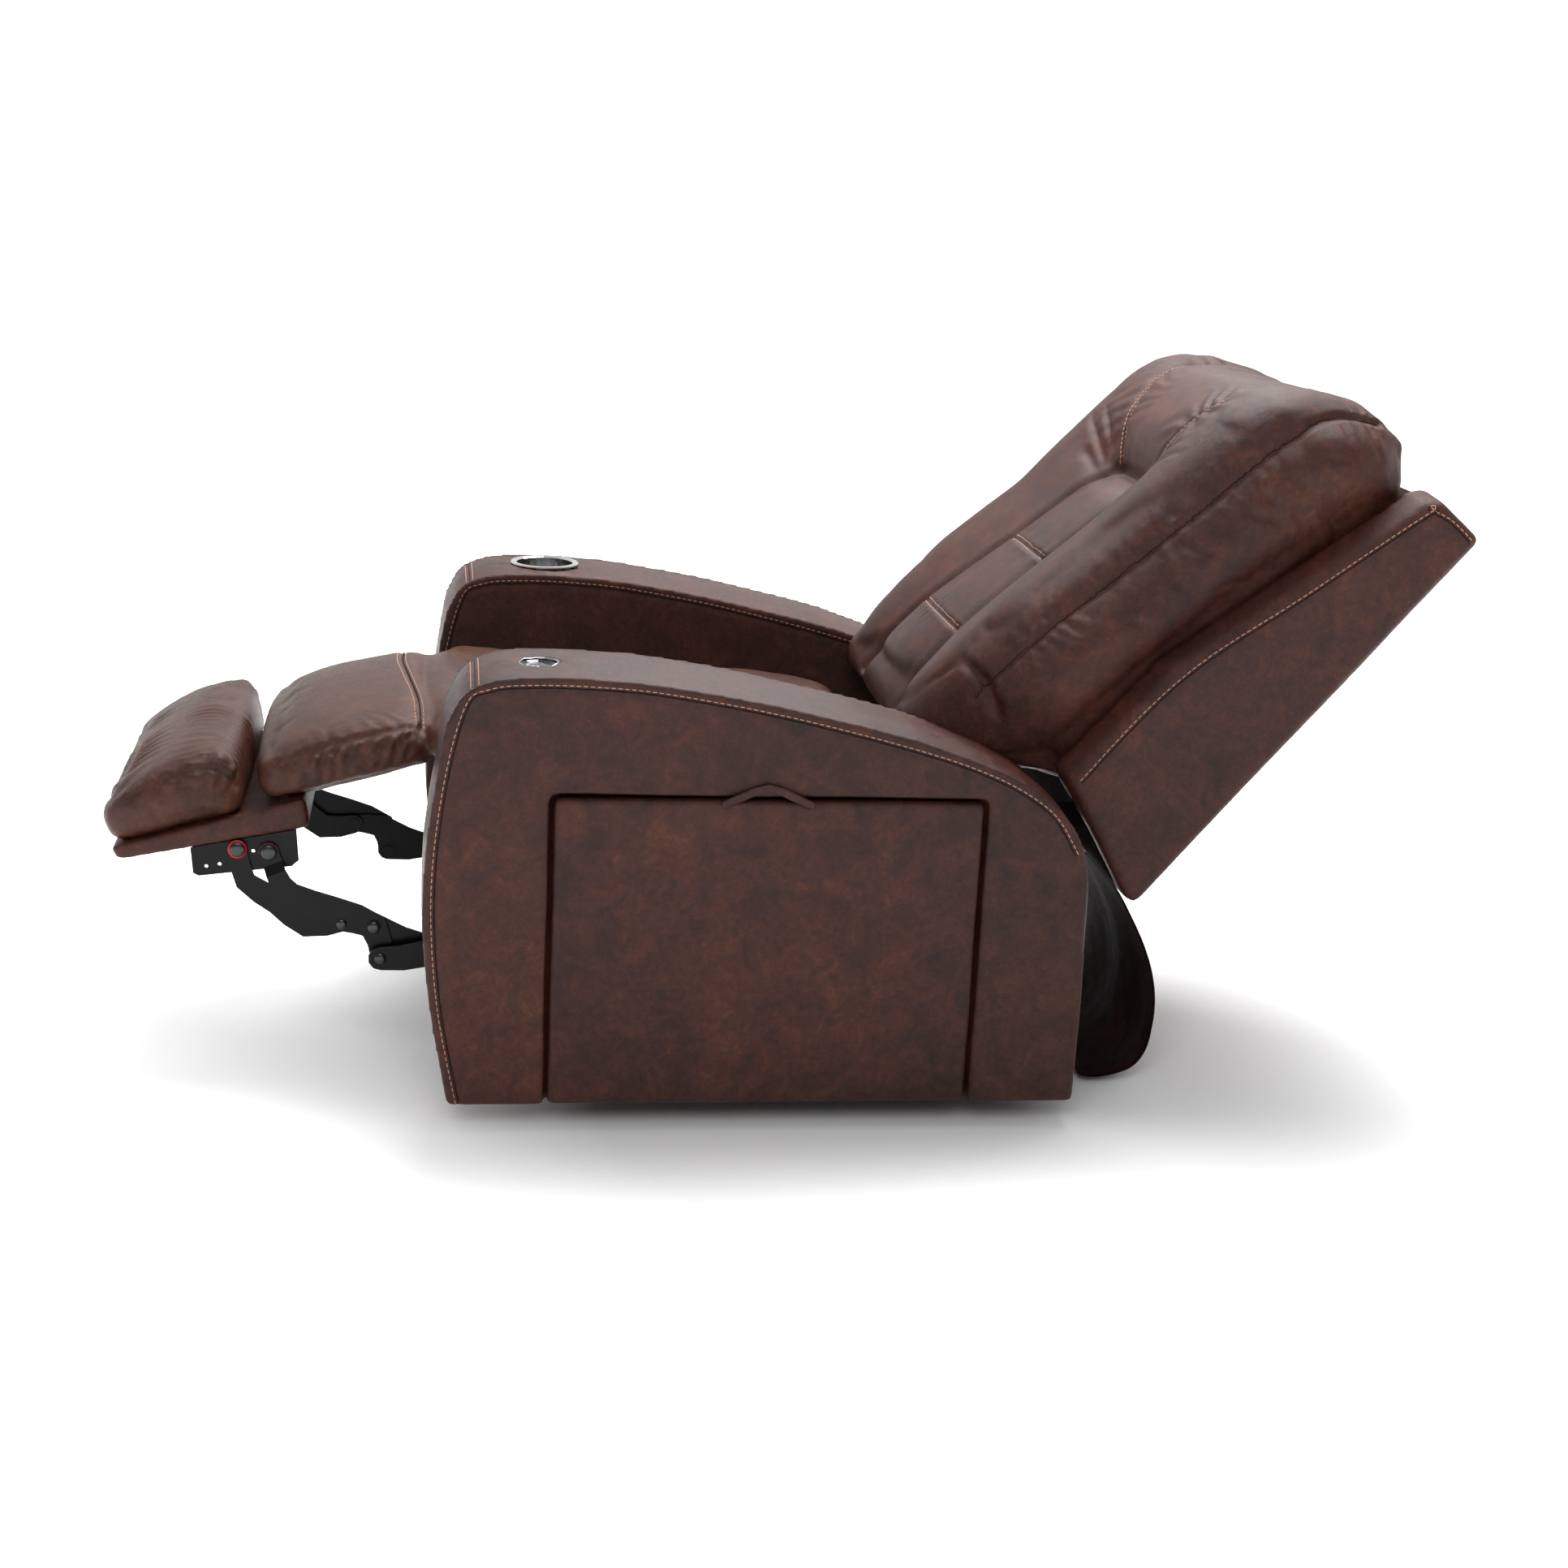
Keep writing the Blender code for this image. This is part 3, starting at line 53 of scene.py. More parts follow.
# Camera, fitted to the photograph; photoSize and lensPixels are in the photograph's pixels, angles in degrees
cameraSettings = {"eye": (3.3246, -0.4638, 1.2658), "yaw": 8.459, "pitch": 15.233, "roll": 2.902,
                  "lensPixels": 3000, "photoSize": 1932, "sensor": 36.0}
eye, lensPixels = Vector(cameraSettings["eye"]), cameraSettings["lensPixels"]
yaw, pitch, roll = (math.radians(cameraSettings[key]) for key in ("yaw", "pitch", "roll"))
gaze = Vector((-math.cos(yaw) * math.cos(pitch), math.sin(yaw) * math.cos(pitch), -math.sin(pitch)))
levelRight = gaze.cross(Vector((0, 0, 1))).normalized()
levelUp = levelRight.cross(gaze)
viewRight = levelRight * math.cos(roll) + levelUp * math.sin(roll)
viewUp = levelUp * math.cos(roll) - levelRight * math.sin(roll)
camera = bpy.data.objects.new("camera", bpy.data.cameras.new("camera"))
scene.collection.objects.link(camera)
camera.data.sensor_width = cameraSettings["sensor"]
camera.data.lens = cameraSettings["sensor"] * lensPixels / cameraSettings["photoSize"]
camera.matrix_world = Matrix.Translation(eye) @ Matrix((viewRight, viewUp, -gaze)).transposed().to_4x4()
scene.camera = camera

# The back's own directions: x across, s up along its outer face from backFoot, d off that face
backFoot, backLean = (0.461, 0.281), math.radians(50.0)
leanCos, leanSin = math.cos(backLean), math.sin(backLean)
backOut = Vector((0, -leanSin, leanCos))
inward = tuple(-backOut)


# Linear RGBA from an sRGB hex colour
def colour(text):
    parts = [int(text[i:i + 2], 16) / 255 for i in (1, 3, 5)]
    return (*[c / 12.92 if c <= 0.04045 else ((c + 0.055) / 1.055) ** 2.4 for c in parts], 1)


def smoothStep(low, high, value):
    t = np.clip((np.asarray(value, float) - low) / (high - low), 0, 1)
    return t * t * (3 - 2 * t)


# Reads a short table of (place, amount) knots in straight lines, for a number or an array
def table(value, knots):
    return np.interp(value, [k[0] for k in knots], [k[1] for k in knots])


# The same with rounded bends
def curved(value, knots, reach=0.015):
    return sum(table(value + k * reach, knots) * w for k, w in ((-1, 0.25), (0, 0.5), (1, 0.25)))


def backPlace(x, s, d):
    return Vector((x, backFoot[0] + s * leanCos - d * leanSin, backFoot[1] + s * leanSin + d * leanCos))


# The x, s and d of world points
def backCoords(points):
    y, z = points[:, 1] - backFoot[0], points[:, 2] - backFoot[1]
    return points[:, 0], y * leanCos + z * leanSin, -y * leanSin + z * leanCos


# Places on a surface under pixels of the photograph
def fromPhoto(tree, spots):
    out, middle = [], cameraSettings["photoSize"] / 2
    for px, py in spots:
        ray = gaze + viewRight * ((px - middle) / lensPixels) + viewUp * ((middle - py) / lensPixels)
        hit = tree.ray_cast(eye, ray.normalized())
        if hit[0] is not None:
            out.append(hit[0])
    return out


def mirrored(points):
    return [Vector((-p[0], p[1], p[2])) for p in points]


# Meshes and their points
def placed(name, mesh, look=None):
    item = bpy.data.objects.new(name, mesh)
    scene.collection.objects.link(item)
    if look is not None:
        mesh.materials.append(look)
    return item


def addMesh(name, verts, faces, look=None):
    mesh = bpy.data.meshes.new(name)
    mesh.from_pydata([tuple(v) for v in verts], [], faces)
    mesh.update()
    mesh.shade_smooth()
    return placed(name, mesh, look)


# A new object from a bmesh, with its faces turned outwards
def fromBmesh(name, bm, look=None):
    bmesh.ops.recalc_face_normals(bm, faces=bm.faces)
    mesh = bpy.data.meshes.new(name)
    bm.to_mesh(mesh)
    bm.free()
    return placed(name, mesh, look)


# Puts the result of an object's modifiers in its mesh
def baked(item):
    bpy.context.view_layer.update()
    shown = item.evaluated_get(bpy.context.evaluated_depsgraph_get())
    mesh = bpy.data.meshes.new_from_object(shown)
    item.modifiers.clear()
    item.data = mesh
    return item


def coords(item, what="co"):
    flat = np.zeros(len(item.data.vertices) * 3)
    item.data.vertices.foreach_get(what, flat)
    return flat.reshape(-1, 3)


def normalsOf(item):
    return coords(item, "normal")


def setCoords(item, points):
    item.data.vertices.foreach_set("co", np.asarray(points, float).ravel())
    item.data.update()


def treeOf(item):
    bm = bmesh.new()
    bm.from_mesh(item.data)
    tree = BVHTree.FromBMesh(bm)
    bm.free()
    return tree


# A welded copy of one or more CAD nodes, drawn in by inset along its normals
def cadCopy(names, name, inset=0.0):
    bm = bmesh.new()
    for part in names:
        bm.from_mesh(nodes[part].data)
    bmesh.ops.remove_doubles(bm, verts=bm.verts, dist=2e-5)
    item = fromBmesh(name, bm)
    if inset:
        setCoords(item, coords(item) - normalsOf(item) * inset)
    return item


# A closed form through rings of equal length
def lofted(name, rings):
    count = len(rings[0])
    bm = bmesh.new()
    loops = [[bm.verts.new(place) for place in ring] for ring in rings]
    for near, far in zip(loops, loops[1:]):
        for k in range(count):
            after = (k + 1) % count
            bm.faces.new((near[k], near[after], far[after], far[k]))
    bm.faces.new(loops[0][::-1])
    bm.faces.new(loops[-1])
    return fromBmesh(name, bm)


# An even mesh over a form, smoothed a little
def remeshed(item, voxel, rounds):
    grid = item.modifiers.new("grid", "REMESH")
    grid.mode = "VOXEL"
    grid.voxel_size = voxel
    baked(item)
    bm = bmesh.new()
    bm.from_mesh(item.data)
    for _ in range(rounds):
        bmesh.ops.smooth_vert(bm, verts=bm.verts, factor=0.5, use_axis_x=True, use_axis_y=True, use_axis_z=True)
    bm.to_mesh(item.data)
    bm.free()
    item.data.shade_smooth()
    return item


def finer(item, levels=1):
    soft = item.modifiers.new("soft", "SUBSURF")
    soft.levels = soft.render_levels = levels
    return baked(item)


# Blows a closed form up as cloth, with no point going further than cap. Stuffed leather grows but never
# shrinks, so points that the cloth pulls in by more than sink go back out.
clothSettings = {"quality": 5, "mass": 0.3, "tension_stiffness": 12, "compression_stiffness": 6,
                 "shear_stiffness": 5, "bending_stiffness": 0.3, "shrink_min": -0.035, "use_pressure": True,
                 "uniform_pressure_force": 4.0}
clothRun = {"frames": 20, "sink": 0.001, "quickShare": 0.5}


def inflated(item, cap, limits=None, pinned=None):
    rest, facing = coords(item), normalsOf(item)
    cloth = item.modifiers.new("cloth", "CLOTH")
    for key, value in clothSettings.items():
        setattr(cloth.settings, key, value)
    cloth.settings.effector_weights.gravity = 0
    if pinned is not None:
        group = item.vertex_groups.new(name="pinned")
        for i in np.nonzero(pinned > 0.02)[0]:
            group.add([int(i)], float(pinned[i]), "REPLACE")
        cloth.settings.vertex_group_mass = "pinned"
    cloth.point_cache.frame_start, cloth.point_cache.frame_end = 1, clothRun["frames"]
    for step in range(1, clothRun["frames"] + 1):
        scene.frame_set(step)
    baked(item)
    item.vertex_groups.clear()
    scene.frame_set(1)
    shift = coords(item) - rest
    length = np.linalg.norm(shift, axis=1)
    shift *= (np.tanh(length / cap) * cap / np.maximum(length, 1e-9))[:, None]
    rise = np.sum(shift * facing, axis=1)
    points = rest + shift + facing * (np.maximum(rise, -clothRun["sink"]) - rise)[:, None]
    setCoords(item, limits(points) if limits else points)
    item.data.shade_smooth()
    return item


# Smooth noise in about -1 to 1 at points, with scale waves per metre
def noiseAt(points, scale, seed):
    return np.array([noise.noise(Vector(p)) for p in points * scale + seed])


# Evenly spaced points on a smooth curve through the given ones
def resample(points, step):
    pts = [Vector(p) for p in points]
    dense, last = [], len(pts) - 1
    for i in range(last):
        a, b = pts[max(i - 1, 0)], pts[i]
        c, d = pts[i + 1], pts[min(i + 2, last)]
        for k in range(12):
            t = k / 12
            dense.append(0.5 * (2 * b + (c - a) * t + (2 * a - 5 * b + 4 * c - d) * t * t
                                + (3 * b - a - 3 * c + d) * t ** 3))
    dense.append(pts[-1])
    run = [0.0]
    for a, b in zip(dense, dense[1:]):
        run.append(run[-1] + (b - a).length)
    count = max(2, int(round(run[-1] / step)) + 1)
    out, j = [], 0
    for i in range(count):
        want = run[-1] * i / (count - 1)
        while j < len(run) - 2 and run[j + 1] < want:
            j += 1
        t = (want - run[j]) / max(run[j + 1] - run[j], 1e-9)
        out.append(dense[j].lerp(dense[j + 1], min(max(t, 0), 1)))
    return out


# Puts points on a surface, by a ray along direction or else at the nearest place, as (place, normal) pairs
def settle(tree, points, direction=None, reach=0.08):
    out = []
    for p in points:
        hit = (None,)
        if direction is not None:
            way = Vector(direction).normalized()
            hit = tree.ray_cast(p - way * reach, way, 2 * reach)
        if hit[0] is None:
            hit = tree.find_nearest(p)
        out.append((hit[0], hit[1]))
    return out


seamStep = 0.004  # from one point of a seam to the next


def laid(tree, points, direction=None):
    return settle(tree, resample(points, seamStep), direction)


# For each vertex within reach of a line: its index, the line's index and the distance
def nearLine(item, line, reach):
    tree = KDTree(len(line))
    for i, (p, n) in enumerate(line):
        tree.insert(p, i)
    tree.balance()
    found, points = [], coords(item)
    ends = np.array([p for p, n in line])
    inside = np.all((points > ends.min(0) - reach) & (points < ends.max(0) + reach), axis=1)
    for i in np.nonzero(inside)[0]:
        near, k, dist = tree.find(points[i])
        if dist < reach:
            found.append((i, k, dist))
    return found


# Presses a groove in along a line on the surface, with the leather rising by bulge beside it
def carve(item, line, depth, width, bulge=0.0, taper=False):
    points, normals = coords(item), normalsOf(item)
    last = max(len(line) - 1, 1)
    for i, k, dist in nearLine(item, line, width * 3.2):
        r = dist / width
        move = -depth * math.exp(-r * r) + bulge * r * r * math.exp(-0.8 * r * r)
        if taper:
            move *= math.sin(math.pi * min(max(k / last, 0.02), 0.98)) ** 0.7
        points[i] += (np.array(line[k][1]) + normals[i]) * move * 0.5
    setCoords(item, points)
    return line


# Small folds that run away from a seam and die out; above weakens those on its upper side
def gathers(item, line, reach, depth, pitch, seed, lean=0.0, above=1.0):
    points, normals = coords(item), normalsOf(item)
    for i, k, dist in nearLine(item, line, reach):
        t = k * seamStep + lean * dist
        wobble = noise.noise(Vector((t * 9, dist * 14, seed)))
        wave = math.sin(2 * math.pi * (t / pitch + 1.5 * wobble))
        strength = max(0.0, 0.55 + 0.9 * noise.noise(Vector((t * 16, seed + 5, 0.3))))
        rise = min(dist / (0.18 * reach), 1.0) * (above if points[i][2] > line[k][0].z else 1.0)
        fade = max(0.0, 1 - dist / reach) ** 1.5
        points[i] += normals[i] * depth * wave * strength * rise * fade
    setCoords(item, points)


# A line moved sideways over its surface
def offset(line, distance):
    out, last = [], len(line) - 1
    for i, (p, n) in enumerate(line):
        way = (line[min(i + 1, last)][0] - line[max(i - 1, 0)][0]).normalized()
        out.append(p + way.cross(n).normalized() * distance)
    return out


# Thread: each row of stitches is gathered under its group until the thread is made at the end
threadSettings = {"pitch": 0.0085, "length": 0.0062, "radius": 0.0006, "rise": 0.0004}
tabThread = {"pitch": 0.005, "length": 0.0034, "radius": 0.0004, "rise": 0.0003}
thread = {}


def stitches(group, tree, points, direction=None, sizes=threadSettings):
    verts, faces = thread.setdefault(group, ([], []))
    length, radius, rise = sizes["length"], sizes["radius"], sizes["rise"]
    spots = resample(points, sizes["pitch"])
    for a, b in zip(spots, spots[1:]):
        middle, way = (a + b) / 2, (b - a).normalized()
        ends = settle(tree, [middle + way * length * k for k in (-0.5, -0.25, 0, 0.25, 0.5)], direction)
        base = len(verts)
        for k, (p, n) in enumerate(ends):
            up = (n - way * n.dot(way)).normalized()
            out = way.cross(up)
            lift = (-0.0004, rise * 0.8, rise, rise * 0.8, -0.0004)[k]
            size = radius * (0.75, 1, 1, 1, 0.75)[k]
            for q in range(5):
                angle = 2 * math.pi * q / 5
                verts.append(p + up * (lift + size * math.sin(angle)) + out * size * 1.15 * math.cos(angle))
        for k in range(4):
            for q in range(5):
                i, j = base + 5 * k + q, base + 5 * k + (q + 1) % 5
                faces.append((i, j, j + 5, i + 5))
        faces.append(tuple(base + q for q in range(5))[::-1])
        faces.append(tuple(base + 20 + q for q in range(5)))


# Materials
def material(name):
    made = bpy.data.materials.new(name)
    made.use_nodes = True
    return made, made.node_tree, made.node_tree.nodes["Principled BSDF"]


# Gives a node's inputs their values, or links them from another node's socket
def plug(made, inputs):
    for key, value in inputs.items():
        if isinstance(value, bpy.types.NodeSocket):
            made.id_data.links.new(value, made.inputs[key])
        else:
            made.inputs[key].default_value = value
    return made


# Adds a node with its inputs and settings; stops are a colour ramp's places with a hex colour or a grey
def node(tree, kind, inputs=None, stops=(), **settings):
    made = tree.nodes.new(kind)
    for key, value in settings.items():
        setattr(made, key, value)
    plug(made, inputs or {})
    while stops and len(made.color_ramp.elements) < len(stops):
        made.color_ramp.elements.new(0.5)
    for i, (place, value) in enumerate(stops):
        element = made.color_ramp.elements[i]
        element.position = place
        element.color = colour(value) if isinstance(value, str) else (value, value, value, 1)
    return made


# Two-tone faux leather: a rubbed mottle of light patches over a dark base, with a moulded pebble grain.
# tones run from the deepest hollow of the mottle to its rubbed highlights, and patch is patches per metre.
def leather(name, tones, patch, seed=0.0, rough=0.40, gloss=0.24):
    made, tree, shader = material(name)
    where = node(tree, "ShaderNodeTexCoord").outputs["Object"]
    shift = node(tree, "ShaderNodeMapping", {"Vector": where, "Location": (seed, seed * 0.7, seed * 1.3)})
    place = shift.outputs["Vector"]
    big = node(tree, "ShaderNodeTexNoise", {
        "Vector": place, "Scale": patch, "Detail": 9.0, "Roughness": 0.70, "Distortion": 0.6})
    fine = node(tree, "ShaderNodeTexNoise", {
        "Vector": place, "Scale": patch * 5, "Detail": 8.0, "Roughness": 0.74, "Distortion": 0.4})
    broad = node(tree, "ShaderNodeTexNoise", {  # drifts 30 cm across
        "Vector": place, "Scale": 3.2, "Detail": 2.0, "Roughness": 0.5})
    mottle = node(tree, "ShaderNodeMix", {0: 0.45, 2: big.outputs["Fac"], 3: fine.outputs["Fac"]},
                  data_type="FLOAT")
    drift = node(tree, "ShaderNodeMix", {0: 0.22, 2: mottle.outputs[0], 3: broad.outputs["Fac"]},
                 data_type="FLOAT")
    tone = node(tree, "ShaderNodeValToRGB", {"Fac": drift.outputs[0]}, list(zip((0.37, 0.47, 0.55, 0.64), tones)))
    specks = node(tree, "ShaderNodeTexNoise", {  # 2 mm specks of worn finish
        "Vector": place, "Scale": 520.0, "Detail": 4.0, "Roughness": 0.65})
    speck = node(tree, "ShaderNodeValToRGB", {"Fac": specks.outputs["Fac"]}, [(0.32, 0.62), (0.60, 1.0)])
    tinted = node(tree, "ShaderNodeMix", {0: 0.6, 6: tone.outputs["Color"], 7: speck.outputs["Color"]},
                  data_type="RGBA", blend_type="MULTIPLY")
    pebble = node(tree, "ShaderNodeTexVoronoi", {"Vector": place, "Scale": 820.0},  # 1.2 mm, coarse to show
                  feature="DISTANCE_TO_EDGE")
    pit = node(tree, "ShaderNodeValToRGB", {"Fac": pebble.outputs["Distance"]}, [(0.0, 0.0), (0.25, 1.0)])
    wrinkles = node(tree, "ShaderNodeTexNoise", {  # 7 mm wrinkles
        "Vector": place, "Scale": 140.0, "Detail": 7.0, "Roughness": 0.72, "Distortion": 1.2})
    height = node(tree, "ShaderNodeMath", {0: wrinkles.outputs["Fac"], 1: 2.0, 2: pit.outputs["Color"]},
                  operation="MULTIPLY_ADD")
    bump = node(tree, "ShaderNodeBump", {"Height": height.outputs["Value"], "Strength": 0.36, "Distance": 0.0007})
    sheen = node(tree, "ShaderNodeValToRGB", {"Fac": fine.outputs["Fac"]},
                 [(0.35, rough - 0.07), (0.65, rough + 0.09)])
    plug(shader, {"Base Color": tinted.outputs[2], "Normal": bump.outputs["Normal"],
                  "Roughness": sheen.outputs["Color"], "Specular IOR Level": gloss})
    return made


# A hard surface with a slight change of tone and, where grain is given as (per metre, depth), a fine texture
def plain(name, value, rough, metal=0.0, grain=None, spread=0.06, gloss=0.5):
    made, tree, shader = material(name)
    where = node(tree, "ShaderNodeTexCoord").outputs["Object"]
    cloud = node(tree, "ShaderNodeTexNoise", {"Vector": where, "Scale": 26.0, "Detail": 5.0, "Roughness": 0.6})
    cloud = cloud.outputs["Fac"]
    tone = node(tree, "ShaderNodeValToRGB", {"Fac": cloud}, [(0.3, 1 - 3 * spread), (0.7, 1.0)])
    tinted = node(tree, "ShaderNodeMix", {0: 1.0, 6: colour(value), 7: tone.outputs["Color"]},
                  data_type="RGBA", blend_type="MULTIPLY")
    sheen = node(tree, "ShaderNodeValToRGB", {"Fac": cloud}, [(0.3, rough - spread), (0.7, rough + spread)])
    plug(shader, {"Base Color": tinted.outputs[2], "Roughness": sheen.outputs["Color"], "Metallic": metal,
                  "Specular IOR Level": gloss})
    if grain:
        grains = node(tree, "ShaderNodeTexNoise", {"Vector": where, "Scale": grain[0], "Detail": 3.0})
        bump = node(tree, "ShaderNodeBump", {
            "Height": grains.outputs["Fac"], "Strength": 0.3, "Distance": grain[1]})
        plug(shader, {"Normal": bump.outputs["Normal"]})
    return made


# Faux leather in red brown, the same hide with its own run of mottle on each group of pieces
hide = leather("faux_leather", ("#20100c", "#341a14", "#442218", "#57301f"), 26.0)
hidePanel = leather("faux_leather_panel", ("#1f0f0c", "#331a14", "#442218", "#58301f"), 22.0, 3.1)
hideSeat = leather("faux_leather_seat", ("#26150f", "#3a2018", "#4a291b", "#5e3622"), 28.0, 5.7, 0.38)  # worn
# Painted shade: a darker, duller copy of the leather for the rear skirt and for the shell's face between the
# wings, which lie in shade
hideShaded = leather("faux_leather_painted_shade", ("#100604", "#1d0b07", "#28110b", "#33180f"), 14.0, 8.2, 0.6, 0.04)  # dull
# Painted shade: a near-black cord sunk in each seam's groove, darkening the crease where two hides meet
seamShade = plain("seam_painted_shade", "#0e0705", 0.7, gloss=0.2)  # the dark line where two hides meet
threadTan = plain("tan_thread", "#b5876b", 0.6, spread=0.05)  # spun polyester, dull
threadBrown = plain("brown_thread", "#3a2018", 0.6, spread=0.05)
# Black powder coat: an even satin skin with a fine orange peel of 1.4 mm
steel = plain("powder_coated_steel", "#08080a", 0.38, grain=(700, 0.00012), spread=0.04, gloss=0.16)
steelDull = plain("primed_steel", "#050404", 0.60, grain=(700, 0.00012), spread=0.04, gloss=0.05)
rivetBlack = plain("black_oxide_rivet", "#141416", 0.24, spread=0.03)  # smoother than the links, so it glints
washerRed = plain("red_nylon_washer", "#a8141e", 0.4)
stainless = plain("polished_stainless", "#d2d2d4", 0.14, 1.0, spread=0.03)  # clear reflections
zinc = plain("zinc_plated_steel", "#8f9094", 0.34, 1.0)  # blurred grey reflections
plastic = plain("moulded_abs", "#111111", 0.5, grain=(500, 0.0002), spread=0.05, gloss=0.35)  # 2 mm grain
wood = plain("sawn_poplar", "#a98c62", 0.7, grain=(120, 0.0006), spread=0.1)  # rough 8 mm saw marks
glass = plain("smoked_acrylic", "#101418", 0.08, spread=0.01)  # near black with a sharp highlight
ringMetal = plain("satin_chrome", "#9aa0a2", 0.22, 1.0, spread=0.02)
print("materials made")

# Hard parts keep their CAD shape
hardLook = {
    "glide": plastic, "control_box": plastic, "lift_actuator_housing": plastic, "back_actuator_housing": plastic,
    "lift_actuator_rod": zinc, "back_actuator_rod": zinc, "arm_cleat": wood, "back_post": wood, "back_rail": wood,
    "cup_holder": stainless, "arm_disc": glass, "side_plate": steelDull, "back_bracket": steelDull,
}
softNodes = ("arm_left", "arm_right", "pocket_panel", "pull_tab", "seat_cushion", "chaise_pad", "footrest_pad",
             "footrest_board", "bolster_left", "bolster_right", "lumbar_cushion", "headrest", "back_shell",
             "rear_skirt")
for name, item in nodes.items():
    if name in softNodes:
        continue
    look = next((value for key, value in hardLook.items() if name.startswith(key)), steel)
    item.data.materials.clear()
    item.data.materials.append(look)
    item.data.polygons.foreach_set("material_index", [0] * len(item.data.polygons))
print("hard parts finished")


# A turned fitting on the X axis; profile is (out from the centre, radius) pairs
def spun(name, profile, centre, side, look, body):
    bm = bmesh.new()
    row = [bm.verts.new((centre[0] + side * out, centre[1] + radius, centre[2])) for out, radius in profile]
    edges = [bm.edges.new(pair) for pair in zip(row, row[1:])]
    bmesh.ops.spin(bm, geom=row + edges, cent=centre, axis=(1, 0, 0), angle=2 * math.pi, steps=28, use_merge=True)
    bmesh.ops.holes_fill(bm, edges=[edge for edge in bm.edges if edge.is_boundary], sides=0)
    item = fromBmesh(name, bm, look)
    item.data.shade_smooth()
    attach(item, body)


# Rivet heads and red washers of the footrest linkage, at (y, z) on the outermost plate there
rivetSettings = {
    "front_pin": {"at": (-0.7173, 0.3169), "radius": 0.0100, "body": "footrest", "washer": True},
    "rear_pin": {"at": (-0.6776, 0.3127), "radius": 0.0105, "body": "footrest", "washer": True},
    "tip_pin": {"at": (-0.5833, 0.2180), "radius": 0.0070, "body": "front_links", "washer": False},
    "cross_pin": {"at": (-0.5413, 0.2140), "radius": 0.0085, "body": "front_links", "washer": False},
    "tail_pin": {"at": (-0.5326, 0.1733), "radius": 0.0080, "body": "outer_links", "washer": True},
}
rivetProfile = ((-0.0002, 1), (0.0008, 1), (0.0018, 0.86), (0.0026, 0.55), (0.0028, 0.2))  # radius as a share
washerSettings = {"past": 0.0024, "from": -0.0018, "to": -0.0007}
for word, side in sides:
    bm = bmesh.new()
    for name in ("footrest_bracket", "front_link", "rear_link", "outer_link", "inner_link"):
        bm.from_mesh(nodes["%s_%s" % (name, word)].data)
    plates = BVHTree.FromBMesh(bm)
    bm.free()
    for name, s in rivetSettings.items():
        hit = plates.ray_cast(Vector((side * 0.30, *s["at"])), Vector((-side, 0, 0)))
        if hit[0] is None:
            continue
        face, r = (hit[0].x, *s["at"]), s["radius"]
        spun("%s_%s_rivet" % (name, word), [(out, r * share) for out, share in rivetProfile], face, side,
             rivetBlack, s["body"])
        if s["washer"]:
            rim = r + washerSettings["past"]
            spun("%s_%s_washer" % (name, word), [(washerSettings["from"], rim), (washerSettings["to"], rim)],
                 face, side, washerRed, s["body"])
print("rivets set")


# Finishes a soft mesh, ties it to its body and hides the CAD nodes that it stands in for
def dressed(item, look, body, *stands, fill=None):
    item.data.materials.clear()
    item.data.materials.append(look)
    item.data.shade_smooth()
    if body:
        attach(item, body)
    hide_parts(*stands)
    print(item.name, len(item.data.polygons), "faces")
    return item


# A thin five-sided cord along a line on a surface: a near-black line of painted shade sunk in a seam's groove, or
# a ring
def seamTube(name, line, radius, body, look=seamShade, lift=-0.0010):
    verts, faces, last = [], [], len(line) - 1
    for i, (p, n) in enumerate(line):
        way = (line[min(i + 1, last)][0] - line[max(i - 1, 0)][0]).normalized()
        up = (n - way * n.dot(way)).normalized()
        out = way.cross(up)
        size = radius * (0.5 if i in (0, last) else 1)
        for k in range(5):
            a = 2 * math.pi * k / 5
            verts.append(p + up * (lift + size * math.sin(a)) + out * size * math.cos(a))
    for i in range(last):
        for k in range(5):
            a, b = i * 5 + k, i * 5 + (k + 1) % 5
            faces.append((a, b, b + 5, a + 5))
    faces.append(tuple(range(5))[::-1])
    faces.append(tuple(range(last * 5, (last + 1) * 5)))
    item = addMesh(name, verts, faces, look)
    if body:
        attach(item, body)
    return item


# Arms: a band over a flat side panel, with a topstitched seam along both edges
armLine = [(-0.444, 0.037), (-0.470, 0.177), (-0.478, 0.327), (-0.463, 0.469), (-0.436, 0.570), (-0.400, 0.593),
           (-0.348, 0.599), (-0.263, 0.598), (-0.168, 0.589), (0.002, 0.558), (0.207, 0.503), (0.316, 0.447),
           (0.363, 0.383), (0.373, 0.267), (0.373, 0.037)]
armSettings = {
    "voxel": 0.0045, "outer": 0.425, "inner": 0.255, "stitch": 0.0110, "seam": 0.0150, "puff": 0.004,
    "wave": 0.0016, "ripple": 0.0005, "outerRun": (0, 13), "innerRun": (2, 13),  # runs are indexes of armLine
    "cross": {"x": (0.268, 0.31, 0.35, 0.39, 0.414), "y": -0.417, "slant": 0.004, "stitch": 0.0055},
    "rings": {"left": (0.340, -0.337, 0.028), "right": (-0.340, -0.303, 0.055)},  # x, y and radius
    "disc": {"at": (0.340, -0.337), "radius": 0.0248, "thick": 0.0016},
}


# Points along the arm's outline at x, moved in towards its middle
def armEdge(x, inset, run):
    pts = resample([(x, y, z) for y, z in armLine[run[0]:run[1]]], 0.006)
    out = []
    for i, p in enumerate(pts):
        way = (pts[min(i + 1, len(pts) - 1)] - pts[max(i - 1, 0)]).normalized()
        out.append(p + Vector((0, way.z, -way.y)) * inset)
    return out


# Points round a circle over the arm's top
def armRing(at, radius, turn, count):
    return [Vector((at[0] + radius * math.cos(a), at[1] + radius * math.sin(a), 0.6))
            for a in np.linspace(0, turn, count)]


